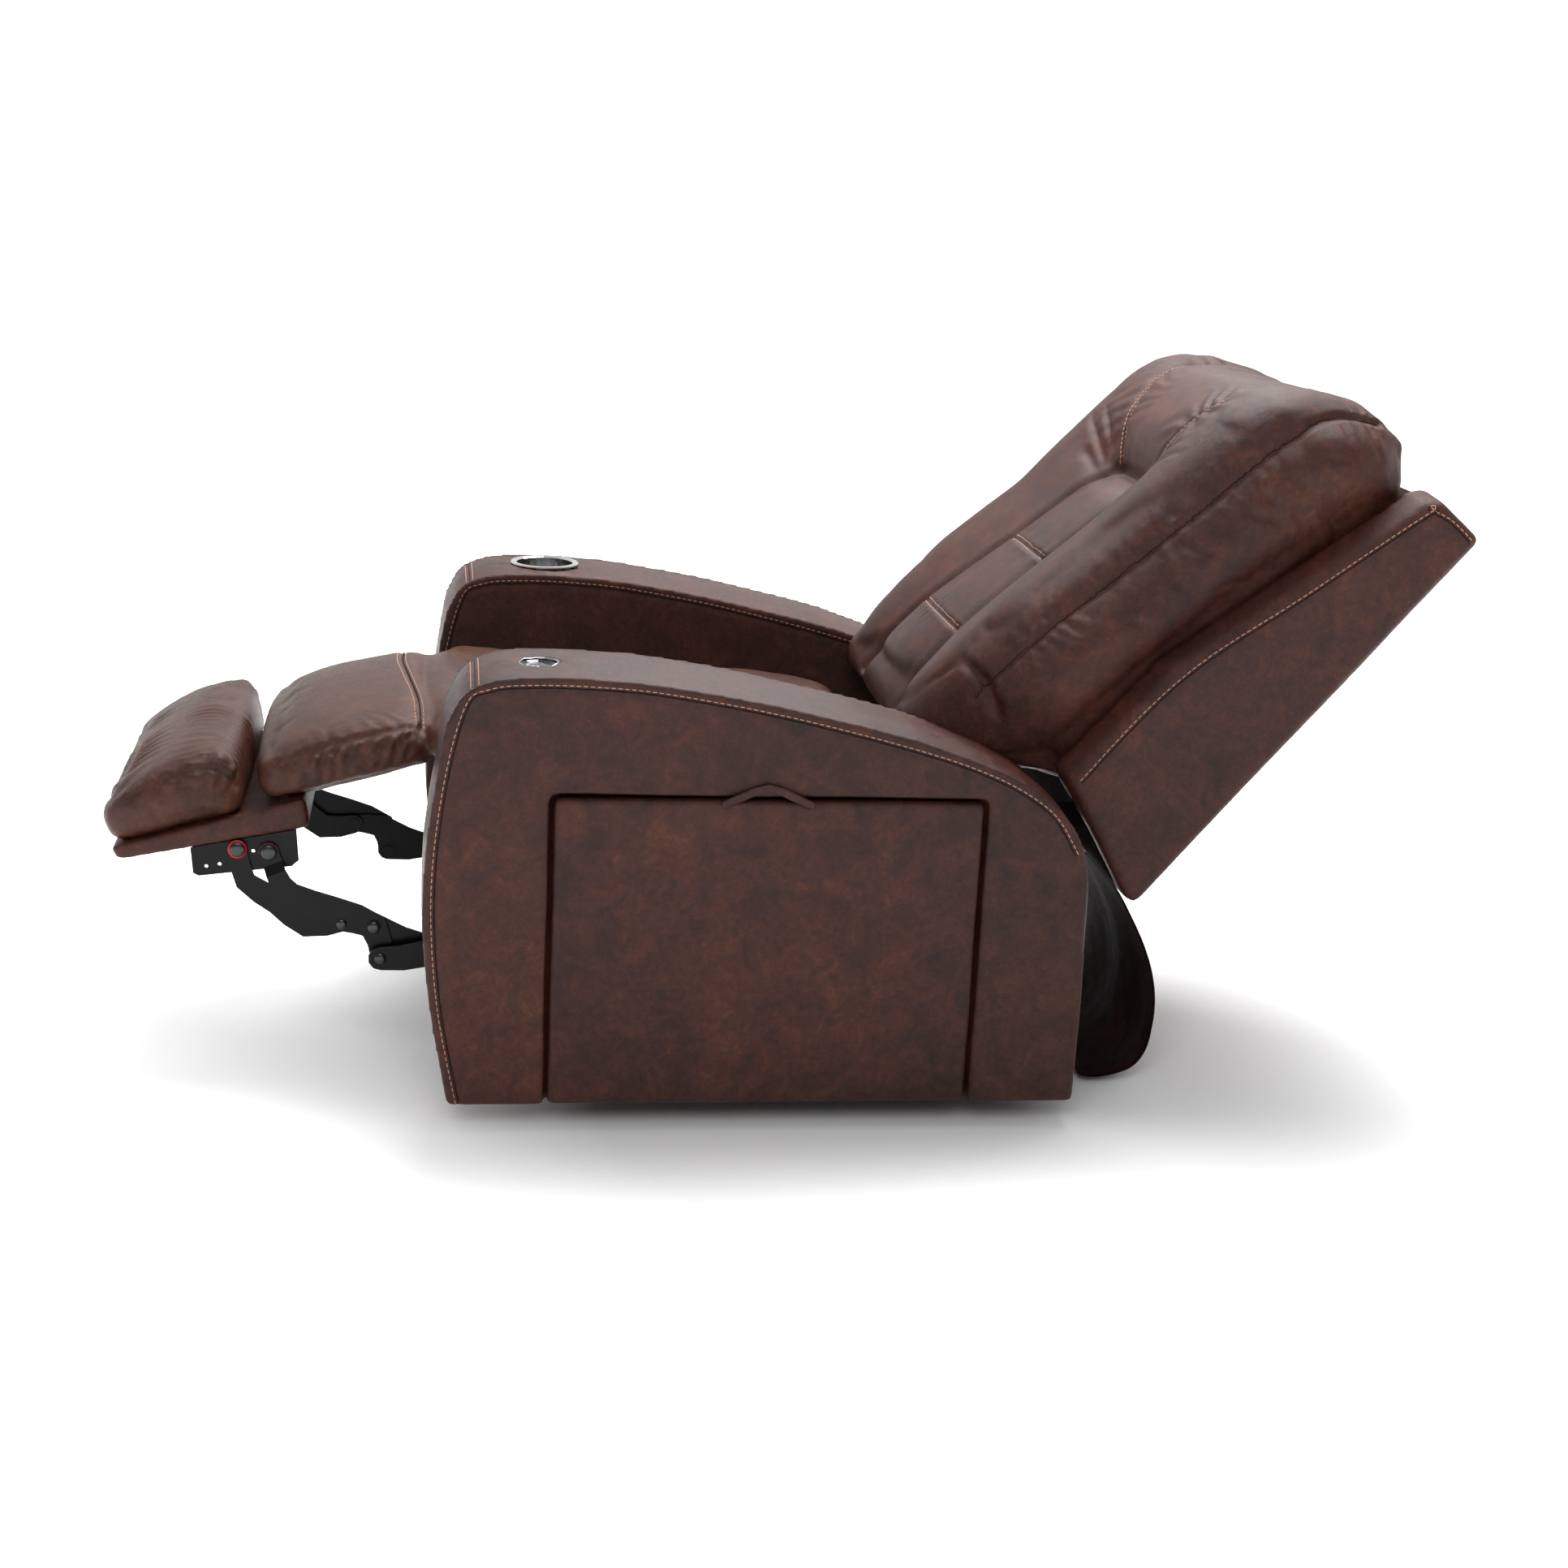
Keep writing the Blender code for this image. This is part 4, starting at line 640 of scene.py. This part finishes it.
def buildArm(word, side):
    s = armSettings
    arm = remeshed(cadCopy(["arm_" + word], "arm_%s_cover" % word), s["voxel"], 4)
    points, normals = coords(arm), normalsOf(arm)
    across = np.clip((points[:, 0] * side - s["inner"]) / (s["outer"] - s["inner"]), 0, 1)
    band = np.clip(np.abs(normals[:, 1]) + np.abs(normals[:, 2]) - np.abs(normals[:, 0]) * 2, 0, 1)
    away = smoothStep(0.05, 0.12, points[:, 2])
    wave = noiseAt(points, 8.0, 2.0 * side) * s["wave"] + noiseAt(points, 24.0, 7.0) * s["ripple"]
    points += normals * (wave * away + band * away * (np.sin(across * math.pi) * s["puff"] - 0.003))[:, None]
    setCoords(arm, points)
    tree = treeOf(arm)
    edges = (("outer", side * s["outer"], (-side, 0, 0), s["outerRun"]),
             ("inner", side * s["inner"], (side, 0, 0), s["innerRun"]))
    for label, edge, way, run in edges:
        line = carve(arm, settle(tree, armEdge(edge, s["seam"], run), way), 0.0018, 0.0048, 0.0007)
        seamTube("arm_%s_%s_seam" % (word, label), line, 0.0010, "chair")
    tree = treeOf(arm)
    for label, edge, way, run in edges:
        stitches("chair", tree, armEdge(edge, s["stitch"], run), way)
    c = s["cross"]
    cross = [(side * x, c["y"] + c["slant"] * (0.41 - x), 0.60) for x in c["x"]]
    line = carve(arm, laid(tree, cross, down), 0.0014, 0.004, 0.0006)
    tree = treeOf(arm)
    seamTube("arm_%s_cross_seam" % word, line, 0.0008, "chair")
    for shift in (-c["stitch"], c["stitch"]):
        stitches("chair", tree, offset(line, shift))
    ring = s["rings"][word]
    loop = armRing(ring, ring[2], 2 * math.pi, 13)
    gathers(arm, laid(tree, loop, down), 0.045, 0.0016, 0.028, 3.0)
    if side > 0:
        rim = armRing(s["disc"]["at"], s["disc"]["radius"], 6.4, 30)
        seamTube("arm_disc_ring", settle(tree, rim, down), s["disc"]["thick"], "chair", ringMetal, 0.0004)
    dressed(arm, hide, "chair", "arm_" + word)


for word, side in sides:
    buildArm(word, side)
print("arms dressed")

# Side pocket panel and its pull tab
pocketSettings = {
    "voxel": 0.004, "wave": 0.0012, "tabVoxel": 0.0012, "tabX": 0.4303,
    "tabRow": ((-0.100, 0.4475), (-0.080, 0.4560), (-0.051, 0.4625), (-0.023, 0.4560), (-0.003, 0.4475)),
}
panel = remeshed(cadCopy(["pocket_panel"], "pocket_panel_cover"), pocketSettings["voxel"], 5)
points, normals = coords(panel), normalsOf(panel)
setCoords(panel, points + normals * (noiseAt(points, 9.0, 4.0) * pocketSettings["wave"])[:, None])
dressed(panel, hidePanel, "side_pocket", "pocket_panel")
tab = remeshed(cadCopy(["pull_tab"], "pull_tab_cover"), pocketSettings["tabVoxel"], 3)
row = [(pocketSettings["tabX"], y, z) for y, z in pocketSettings["tabRow"]]
stitches("pocket", treeOf(tab), row, (-1, 0, 0), tabThread)
dressed(tab, hide, "side_pocket", "pull_tab")
print("side pocket dressed")

# Seat and chaise pad: one cover that bends at the hinge, seamed across. flank and folds are the chaise's side
# seam and the folds that it pulls, in the photograph's pixels.
seatSettings = {
    "voxel": 0.0080, "cap": 0.012, "grow": 0.0012, "halfWidth": 0.2545, "lip": (0, -0.001, 0.010),
    "hinge": ((0, -0.462, 0.470), (0, -0.512, 0.470)),
    "cross": ((-0.238, -0.509), (-0.16, -0.511), (-0.075, -0.510), (0.03, -0.499), (0.12, -0.487), (0.18, -0.483),
              (0.205, -0.482)),
    "flank": ((312, 948), (340, 941), (365, 932), (395, 921), (430, 912), (470, 903), (505, 896)),
    "folds": (((352, 950), (378, 934), (396, 920)), ((392, 948), (405, 930), (430, 914)),
              ((420, 944), (440, 925), (465, 906)), ((455, 938), (468, 920), (492, 900)),
              ((335, 962), (350, 950), (366, 934)), ((484, 930), (494, 915), (512, 900))),
}


def seatLimits(points):
    half = seatSettings["halfWidth"]
    return np.column_stack((np.clip(points[:, 0], -half, half), points[:, 1:]))


seat = cadCopy(["seat_cushion", "chaise_pad"], "seat_cover", -seatSettings["grow"])
remeshed(seat, seatSettings["voxel"], 2)
points = coords(seat)
low = smoothStep(0.440, 0.425, points[:, 2]) * (points[:, 1] > -0.47)  # the seat's flat underside stays put
inflated(seat, seatSettings["cap"], seatLimits, np.clip(low, 0, 1))
points = coords(seat)
lip = smoothStep(-0.54, -0.69, points[:, 1]) * smoothStep(0.400, 0.425, points[:, 2])
setCoords(seat, points + np.outer(lip, seatSettings["lip"]))
finer(seat)
tree = treeOf(seat)
cross = [(x, y, 0.52) for x, y in seatSettings["cross"]]
line = carve(seat, laid(tree, cross, down), 0.0026, 0.006, 0.001)
flank = fromPhoto(tree, seatSettings["flank"])
for flip in (False, True):
    edge = laid(tree, mirrored(flank) if flip else flank)
    gathers(seat, edge, 0.070, 0.0050, 0.021, 1.0 + flip, lean=0.5, above=0.2)
    carve(seat, edge, 0.0036, 0.0060, 0.0016)
    for spots in seatSettings["folds"]:
        found = fromPhoto(tree, spots)
        if len(found) > 1:
            found = mirrored(found) if flip else found
            carve(seat, laid(tree, found), 0.0042, 0.0052, 0.0022, True)
tree = treeOf(seat)
seatSeam = seamTube("seat_cross_seam", line, 0.0010, None)
for shift in (0.008, -0.0035):
    stitches("seat", tree, offset(line, shift))
dressed(seat, hideSeat, None, "seat_cushion", "chaise_pad", fill=0.75)
for item in (seat, seatSeam):
    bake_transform(item)
print("seat and chaise dressed")

# Ottoman pad: flank is its side seam, rear and front the ends that its side gathers towards, in the
# photograph's pixels
ottomanSettings = {
    "voxel": 0.0065, "cap": 0.010, "inset": 0.001, "lip": (0, 0.001, 0.007),
    "flank": ((128, 1003), (158, 984), (190, 966), (215, 955), (245, 948), (272, 950), (292, 968)),
    "rear": ((300, 868), (296, 890), (290, 915), (286, 938), (284, 952)),
    "front": ((190, 885), (178, 905), (165, 935), (148, 965), (134, 990)),
}
ottoman = cadCopy(["footrest_pad"], "footrest_cover", ottomanSettings["inset"])
remeshed(ottoman, ottomanSettings["voxel"], 2)
inflated(ottoman, ottomanSettings["cap"])
points = coords(ottoman)
lip = smoothStep(-0.77, -0.73, points[:, 1]) * smoothStep(0.385, 0.420, points[:, 2])
setCoords(ottoman, points + np.outer(lip, ottomanSettings["lip"]))
finer(ottoman)
tree = treeOf(ottoman)
flank, rear, front = (fromPhoto(tree, ottomanSettings[key]) for key in ("flank", "rear", "front"))
for line, reach, depth, pitch in ((rear, 0.090, 0.0036, 0.024), (front, 0.070, 0.0026, 0.026)):
    if len(line) > 1:
        gathers(ottoman, laid(tree, line), reach, depth, pitch, 9.0 + reach * 30, lean=0.2)
for edge in (flank, mirrored(flank)):
    edge = laid(tree, edge)
    gathers(ottoman, edge, 0.050, 0.0024, 0.022, 3.0)
    carve(ottoman, edge, 0.0030, 0.0060, 0.0014)
dressed(ottoman, hideSeat, "footrest", "footrest_pad", fill=0.75)

board = remeshed(cadCopy(["footrest_board"], "footrest_board_cover"), 0.004, 5)
dressed(board, hide, "footrest", "footrest_board")
print("footrest dressed")

# The back's pillow: side bolsters that run over the top round a headrest, and a lumbar channel. The lines
# are (s, d) and give how far parts of it stand off the back: its crest, its outer edge, its middle, the
# valley beside the middle, and the foot and rear of its box. The last three are (s, x).
pillowLines = {
    "crest": [(-0.050, 0.388), (0.050, 0.390), (0.180, 0.380), (0.330, 0.354), (0.490, 0.342), (0.560, 0.336),
              (0.610, 0.319), (0.660, 0.264), (0.690, 0.190)],
    "edge": [(-0.050, 0.340), (0.094, 0.342), (0.215, 0.328), (0.334, 0.308), (0.437, 0.289), (0.547, 0.275),
             (0.620, 0.256), (0.650, 0.228), (0.672, 0.184), (0.690, 0.150)],
    "middle": [(-0.050, 0.388), (0.050, 0.388), (0.113, 0.382), (0.190, 0.367), (0.265, 0.350), (0.330, 0.338),
               (0.388, 0.325), (0.412, 0.306), (0.430, 0.280), (0.448, 0.310), (0.470, 0.328), (0.500, 0.334),
               (0.560, 0.328), (0.610, 0.312), (0.660, 0.258), (0.690, 0.186)],
    "valley": [(-0.050, 0.366), (0.113, 0.364), (0.265, 0.334), (0.388, 0.310), (0.430, 0.285), (0.460, 0.312),
               (0.500, 0.330), (0.560, 0.327), (0.610, 0.311), (0.660, 0.257), (0.690, 0.185)],
    "foot": [(-0.050, 0.290), (0.020, 0.245), (0.086, 0.233), (0.237, 0.221), (0.337, 0.205), (0.448, 0.186),
             (0.543, 0.158), (0.629, 0.118), (0.690, 0.105)],
    "rear": [(-0.050, 0.312), (0.020, 0.240), (0.100, 0.105), (0.200, 0.095), (0.260, 0.064), (0.592, 0.064),
             (0.655, 0.118), (0.690, 0.132)],
    "channelX": [(-0.050, 0.130), (0.020, 0.122), (0.144, 0.105), (0.260, 0.093), (0.360, 0.088), (0.410, 0.078),
                 (0.430, 0.072), (0.460, 0.090), (0.500, 0.118), (0.550, 0.145), (0.600, 0.165), (0.690, 0.180)],
    "edgeX": [(-0.050, 0.250), (0.020, 0.262), (0.094, 0.275), (0.200, 0.282), (0.600, 0.282), (0.650, 0.268),
              (0.690, 0.235)],
    "crestX": [(-0.050, 0.210), (0.100, 0.222), (0.560, 0.222), (0.690, 0.200)],
}
boxSide = ((0.12, -0.06), (0.55, 0.06), (0.85, 0.22), (1.0, 0.42), (0.92, 0.64), (0.6, 0.84), (0.15, 0.97))
# The shell's front edge, which the pillow stands in, as (s, d)
wingTop = [(0.0, 0.06), (0.062, 0.190), (0.262, 0.184), (0.635, 0.090), (0.655, 0.076)]
pillowSettings = {
    "voxel": 0.0085, "cap": 0.008, "rings": 74, "from": -0.046, "to": 0.684,
    # Each kind of seam's depth and width, then its gathers' reach, depth, pitch, seed and lean
    "seams": {"edge": (0.0046, 0.0065), "tuck": (0.0080, 0.0110), "head": (0.0040, 0.0070),
              "cross": (0.0034, 0.0060)},
    "gathers": {"head": (0.105, 0.0036, 0.034, 2.0, 0.3), "edge": (0.055, 0.0018, 0.026, 4.0, 0.0),
                "cross": (0.035, 0.0012, 0.024, 6.0, 0.0)},
    "crossRows": (("low", 0.108), ("high", 0.258)), "tuckRow": 0.431, "stitch": 0.0050,
}


# How far the pillow's face stands off the back's outer face at x and s
def pillowFace(x, s):
    x = abs(x)
    bent, straight = ("middle", "valley", "crest", "channelX"), ("edge", "crestX", "edgeX")
    middle, valley, crest, split = (float(curved(s, pillowLines[key])) for key in bent)
    edge, top, rim = (float(table(s, pillowLines[key])) for key in straight)
    if x < split:
        return valley + (middle - valley) * (1 - (x / split) ** 2.4)
    if x < top:
        return valley + (crest - valley) * math.sin(math.pi / 2 * (x - split) / (top - split)) ** 0.9
    turn = min((x - top) / (rim - top), 1)
    return edge + (crest - edge) * math.sqrt(max(0, 1 - turn ** 2.2))


# One ring across the pillow at s, from the middle of its rear round its swelling side to its face
def pillowRing(s, scale):
    rim, foot, rear, edge = (float(table(s, pillowLines[key])) for key in ("edgeX", "foot", "rear", "edge"))
    foot = max(foot, rear + 0.006)
    swell = 0.010 + 0.022 * float(smoothStep(0.05, 0.15, s)) * float(smoothStep(0.68, 0.62, s))
    half = [(0.0, rear), (rim * 0.5, rear), (rim - 0.006, rear), (rim, rear + (foot - rear) * 0.6)]
    half += [(rim + swell * out, foot + (edge - foot) * up) for out, up in boxSide]
    half += [(x, pillowFace(x, s)) for x in rim * np.sin(np.linspace(1, 0, 25) * math.pi / 2) * 0.9995]
    ring = half + [(-x, d) for x, d in half[::-1][1:-1]]
    middle = sum(d for x, d in ring) / len(ring)
    return [backPlace(x * (0.75 + 0.25 * scale), s, middle + (d - middle) * scale) for x, d in ring]


# Keeps the pillow between the wings, and out over them where it stands clear
def pillowLimits(points):
    x, s, d = backCoords(points)
    clear = d - table(s, wingTop)
    reach = 0.2975 + 0.026 * smoothStep(0.026, 0.046, clear) * smoothStep(0.06, 0.13, s)
    x = np.clip(x, -reach, reach)
    d = np.maximum(d, 0.0592)
    return np.column_stack((x, backFoot[0] + s * leanCos - d * leanSin, backFoot[1] + s * leanSin + d * leanCos))


rises = np.linspace(pillowSettings["from"], pillowSettings["to"], pillowSettings["rings"])
pillow = lofted("back_pillow", [pillowRing(s, 1 - 0.45 * max(0, 1 - (s + 0.046) / 0.03) ** 2) for s in rises])
remeshed(pillow, pillowSettings["voxel"], 1)
x, s, d = backCoords(coords(pillow))
inflated(pillow, pillowSettings["cap"], pillowLimits, smoothStep(0.16, 0.10, d))
finer(pillow)


# Points up the pillow's face along the channel's edge
def channelRow(side, first, last):
    return [backPlace(side * x, s, pillowFace(x, s)) for s in np.linspace(first, last, 26)
            for x in (float(curved(s, pillowLines["channelX"])),)]


# Points across the pillow's face at s
def crossRow(s, half, count):
    return [backPlace(x, s, pillowFace(x, s)) for x in np.linspace(-half, half, count)]


tree = treeOf(pillow)
rows = {}
for word, side in sides:
    rim = [backPlace(side * float(table(s, pillowLines["edgeX"])), s, float(table(s, pillowLines["edge"])))
           for s in np.linspace(0.06, 0.672, 30)]
    rows["bolster_%s_seam" % word] = (laid(tree, rim), "edge")
    rows["lumbar_%s_seam" % word] = (laid(tree, channelRow(side, -0.030, 0.430), inward), "tuck")
    rows["headrest_%s_seam" % word] = (laid(tree, channelRow(side, 0.440, 0.662), inward), "head")
for name, s in pillowSettings["crossRows"]:
    half = float(curved(s, pillowLines["channelX"])) * 0.97
    rows["lumbar_%s_seam" % name] = (laid(tree, crossRow(s, half, 15), inward), "cross")
rows["headrest_tuck_seam"] = (laid(tree, crossRow(pillowSettings["tuckRow"], 0.072, 9), inward), "tuck")
for k, (name, (line, kind)) in enumerate(rows.items()):
    depth, width = pillowSettings["seams"][kind]
    if kind in pillowSettings["gathers"]:
        reach, fold, pitch, seed, lean = pillowSettings["gathers"][kind]
        gathers(pillow, line, reach, fold, pitch, seed + k, lean=lean)
    carve(pillow, line, depth, width, depth * 0.45)

# Creases that the photograph shows, as its pixels, depth and width, pressed in on both sides
creases = [
    ([(1185, 813), (1200, 826), (1212, 838), (1222, 858), (1233, 888)], 0.0080, 0.0090),
    ([(1143, 843), (1162, 829), (1180, 817)], 0.0030, 0.0060),
    ([(1535, 595), (1562, 612), (1588, 627)], 0.0024, 0.0070),
    ([(1651, 518), (1660, 532), (1667, 547)], 0.0022, 0.0050),
    ([(1683, 521), (1695, 545), (1704, 573)], 0.0022, 0.0060),
    ([(1424, 701), (1450, 718), (1476, 732)], 0.0026, 0.0080),
    ([(1492, 727), (1510, 722), (1529, 716)], 0.0020, 0.0060),
    ([(1307, 764), (1324, 776), (1339, 785)], 0.0022, 0.0060),
    ([(1371, 759), (1405, 768), (1439, 775)], 0.0022, 0.0070),
    ([(1240, 905), (1275, 880), (1300, 850)], 0.0030, 0.0090),
    ([(1346, 505), (1352, 538), (1362, 574)], 0.0046, 0.0080),
    ([(1364, 497), (1366, 520), (1370, 552)], 0.0036, 0.0070),
    ([(1325, 520), (1335, 550), (1352, 582)], 0.0030, 0.0090),
    ([(1530, 628), (1566, 640), (1596, 640)], 0.0026, 0.0080),
    ([(1452, 668), (1480, 680), (1505, 684)], 0.0024, 0.0080),
    ([(1620, 560), (1645, 566), (1672, 560)], 0.0022, 0.0070),
]
for spots, depth, width in creases:
    found = fromPhoto(tree, spots)
    if len(found) > 1:
        for line in (found, mirrored(found)):
            carve(pillow, laid(tree, line), depth, width, depth * 0.4, True)
tree = treeOf(pillow)
for name, (line, kind) in rows.items():
    line = settle(tree, [p for p, n in line], None if kind == "edge" else inward)
    seamTube(name, line, 0.0009, "backrest", lift=-0.0006)
    if kind in ("head", "cross"):
        for shift in (-pillowSettings["stitch"], pillowSettings["stitch"]):
            stitches("backrest", tree, offset(line, shift))
dressed(pillow, hide, "backrest", "bolster_left", "bolster_right", "lumbar_cushion", "headrest", fill=0.8)

# Outer shell of the back, with a padded band along the wings' front edges
shellSettings = {"voxel": 0.005, "outer": 0.339, "inner": 0.299, "pad": 0.020, "wave": 0.0014, "seam": 0.0135,
                 "stitch": 0.0095, "edge": ((0.072, 0.189), (0.262, 0.184), (0.450, 0.137), (0.635, 0.090),
                                            (0.647, 0.080), (0.655, 0.050), (0.655, 0.010))}
shell = remeshed(cadCopy(["back_shell"], "back_shell_cover"), shellSettings["voxel"], 4)
points = coords(shell)
x, s, d = backCoords(points)
near = smoothStep(-0.030, -0.006, d - table(s, wingTop)) * smoothStep(0.02, 0.07, s)
near *= smoothStep(0.290, 0.300, np.abs(x))
lift = near * (shellSettings["outer"] - np.abs(x)).clip(0, 0.04) / 0.04 * shellSettings["pad"]
points += np.outer(lift, np.array(backOut))
points += normalsOf(shell) * (noiseAt(points, 7.0, 6.0) * shellSettings["wave"])[:, None]
setCoords(shell, points)


# Points along a wing's front edge, moved in over its outer face
def wingRow(side, inset):
    line = resample([backPlace(side * 0.34, s, d) for s, d in shellSettings["edge"]], 0.006)
    out = []
    for i, p in enumerate(line):
        way = (line[min(i + 1, len(line) - 1)] - line[max(i - 1, 0)]).normalized()
        out.append(p + way.cross(Vector((1, 0, 0))) * inset)
    return out


for word, side in sides:
    way = (-side, 0, 0)
    line = settle(treeOf(shell), wingRow(side, shellSettings["seam"]), way)
    carve(shell, line, 0.0016, 0.0046, 0.0007)
    seamTube("wing_%s_seam" % word, line, 0.0010, "backrest")
    stitches("backrest", treeOf(shell), wingRow(side, shellSettings["stitch"]), way)
dressed(shell, hide, "backrest", "back_shell")
shell.data.materials.append(hideShaded)  # painted shade on the shell's face between the wings
# Painted shade: the shell's face between the wings, behind the pillow, takes the darker copy of the leather in
# place of the shade there
middles = np.zeros(len(shell.data.polygons) * 3)
shell.data.polygons.foreach_get("center", middles)
x, s, d = backCoords(middles.reshape(-1, 3))
shadeMask = (np.abs(x) < shellSettings["inner"]) & (d > 0.004)
shell.data.polygons.foreach_set("material_index", shadeMask.astype(np.int32))

# The skirt hangs from the shell's foot to the chair's rear and bends between them
skirt = finer(cadCopy(["rear_skirt"], "rear_skirt_cover"), 2)
# Painted shade: the skirt takes the darker copy of the leather, for the shade under the back
dressed(skirt, hideShaded, None, "rear_skirt")
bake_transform(skirt)
print("back dressed")

threadBody = {"chair": "chair", "pocket": "side_pocket", "backrest": "backrest", "seat": None}
for key, (verts, faces) in thread.items():
    item = addMesh("stitching_" + key, verts, faces, threadBrown if key == "pocket" else threadTan)
    if threadBody[key]:
        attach(item, threadBody[key])
    else:
        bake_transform(item)
print("thread sewn")

# Floor: pale, and glowing up to white with the distance from the chair's shadow
floorSettings = {"half": 14, "colour": (0.93, 0.93, 0.93, 1), "middle": (0.30, 0.35, 0), "from": 0.60, "to": 1.90}
floorLook, tree, shader = material("floor")
where = node(tree, "ShaderNodeTexCoord").outputs["Object"]
distance = node(tree, "ShaderNodeVectorMath", {0: where, 1: floorSettings["middle"]}, operation="DISTANCE")
glow = node(tree, "ShaderNodeMapRange", {"Value": distance.outputs["Value"], "From Min": floorSettings["from"],
                                         "From Max": floorSettings["to"], "To Min": 0.0, "To Max": 1.0})
plug(shader, {"Base Color": floorSettings["colour"], "Roughness": 0.9, "Specular IOR Level": 0.0,
              "Emission Color": (1, 1, 1, 1), "Emission Strength": glow.outputs["Result"]})
bm = bmesh.new()
bmesh.ops.create_grid(bm, x_segments=1, y_segments=1, size=floorSettings["half"])
mesh = bpy.data.meshes.new("floor")
bm.to_mesh(mesh)
bm.free()
placed("floor", mesh, floorLook)

# World: white behind the chair, and a soft light that is brighter from the chair's far side
worldSettings = {"from": -0.5, "to": 0.9, "far": 0.95, "near": 0.18}
scene.world = bpy.data.worlds.new("studio")
scene.world.use_nodes = True
tree = scene.world.node_tree
background = plug(tree.nodes["Background"], {"Color": (1, 1, 1, 1), "Strength": 1.0})
away = node(tree, "ShaderNodeSeparateXYZ", {0: node(tree, "ShaderNodeTexCoord").outputs["Generated"]})
spread = node(tree, "ShaderNodeMapRange", {
    "Value": away.outputs["X"], "From Min": worldSettings["from"], "From Max": worldSettings["to"],
    "To Min": worldSettings["far"], "To Max": worldSettings["near"]})
dimmed = node(tree, "ShaderNodeBackground", {"Color": (1, 1, 1, 1), "Strength": spread.outputs["Result"]})
seen = node(tree, "ShaderNodeLightPath")
choose = node(tree, "ShaderNodeMixShader", {
    0: seen.outputs["Is Camera Ray"], 1: dimmed.outputs[0], 2: background.outputs[0]})
plug(tree.nodes["World Output"], {"Surface": choose.outputs[0]})

lampSettings = {
    "top": {"at": (-0.9, 0.5, 3.2), "to": (0, 0, 0.3), "size": (2.0, 2.0), "watts": 200},
    "front": {"at": (3.4, -0.6, 2.6), "to": (0, 0, 0.4), "size": (2.0, 1.6), "watts": 48},
}
for name, s in lampSettings.items():
    data = bpy.data.lights.new("lamp_" + name, "AREA")
    data.shape = "RECTANGLE"
    data.size, data.size_y = s["size"]
    data.energy = s["watts"]
    lamp = bpy.data.objects.new("lamp_" + name, data)
    scene.collection.objects.link(lamp)
    aim = Vector(s["to"]) - Vector(s["at"])
    lamp.matrix_world = Matrix.Translation(s["at"]) @ aim.to_track_quat("-Z", "Y").to_matrix().to_4x4()

scene.view_settings.view_transform = "Standard"
print("stage set")
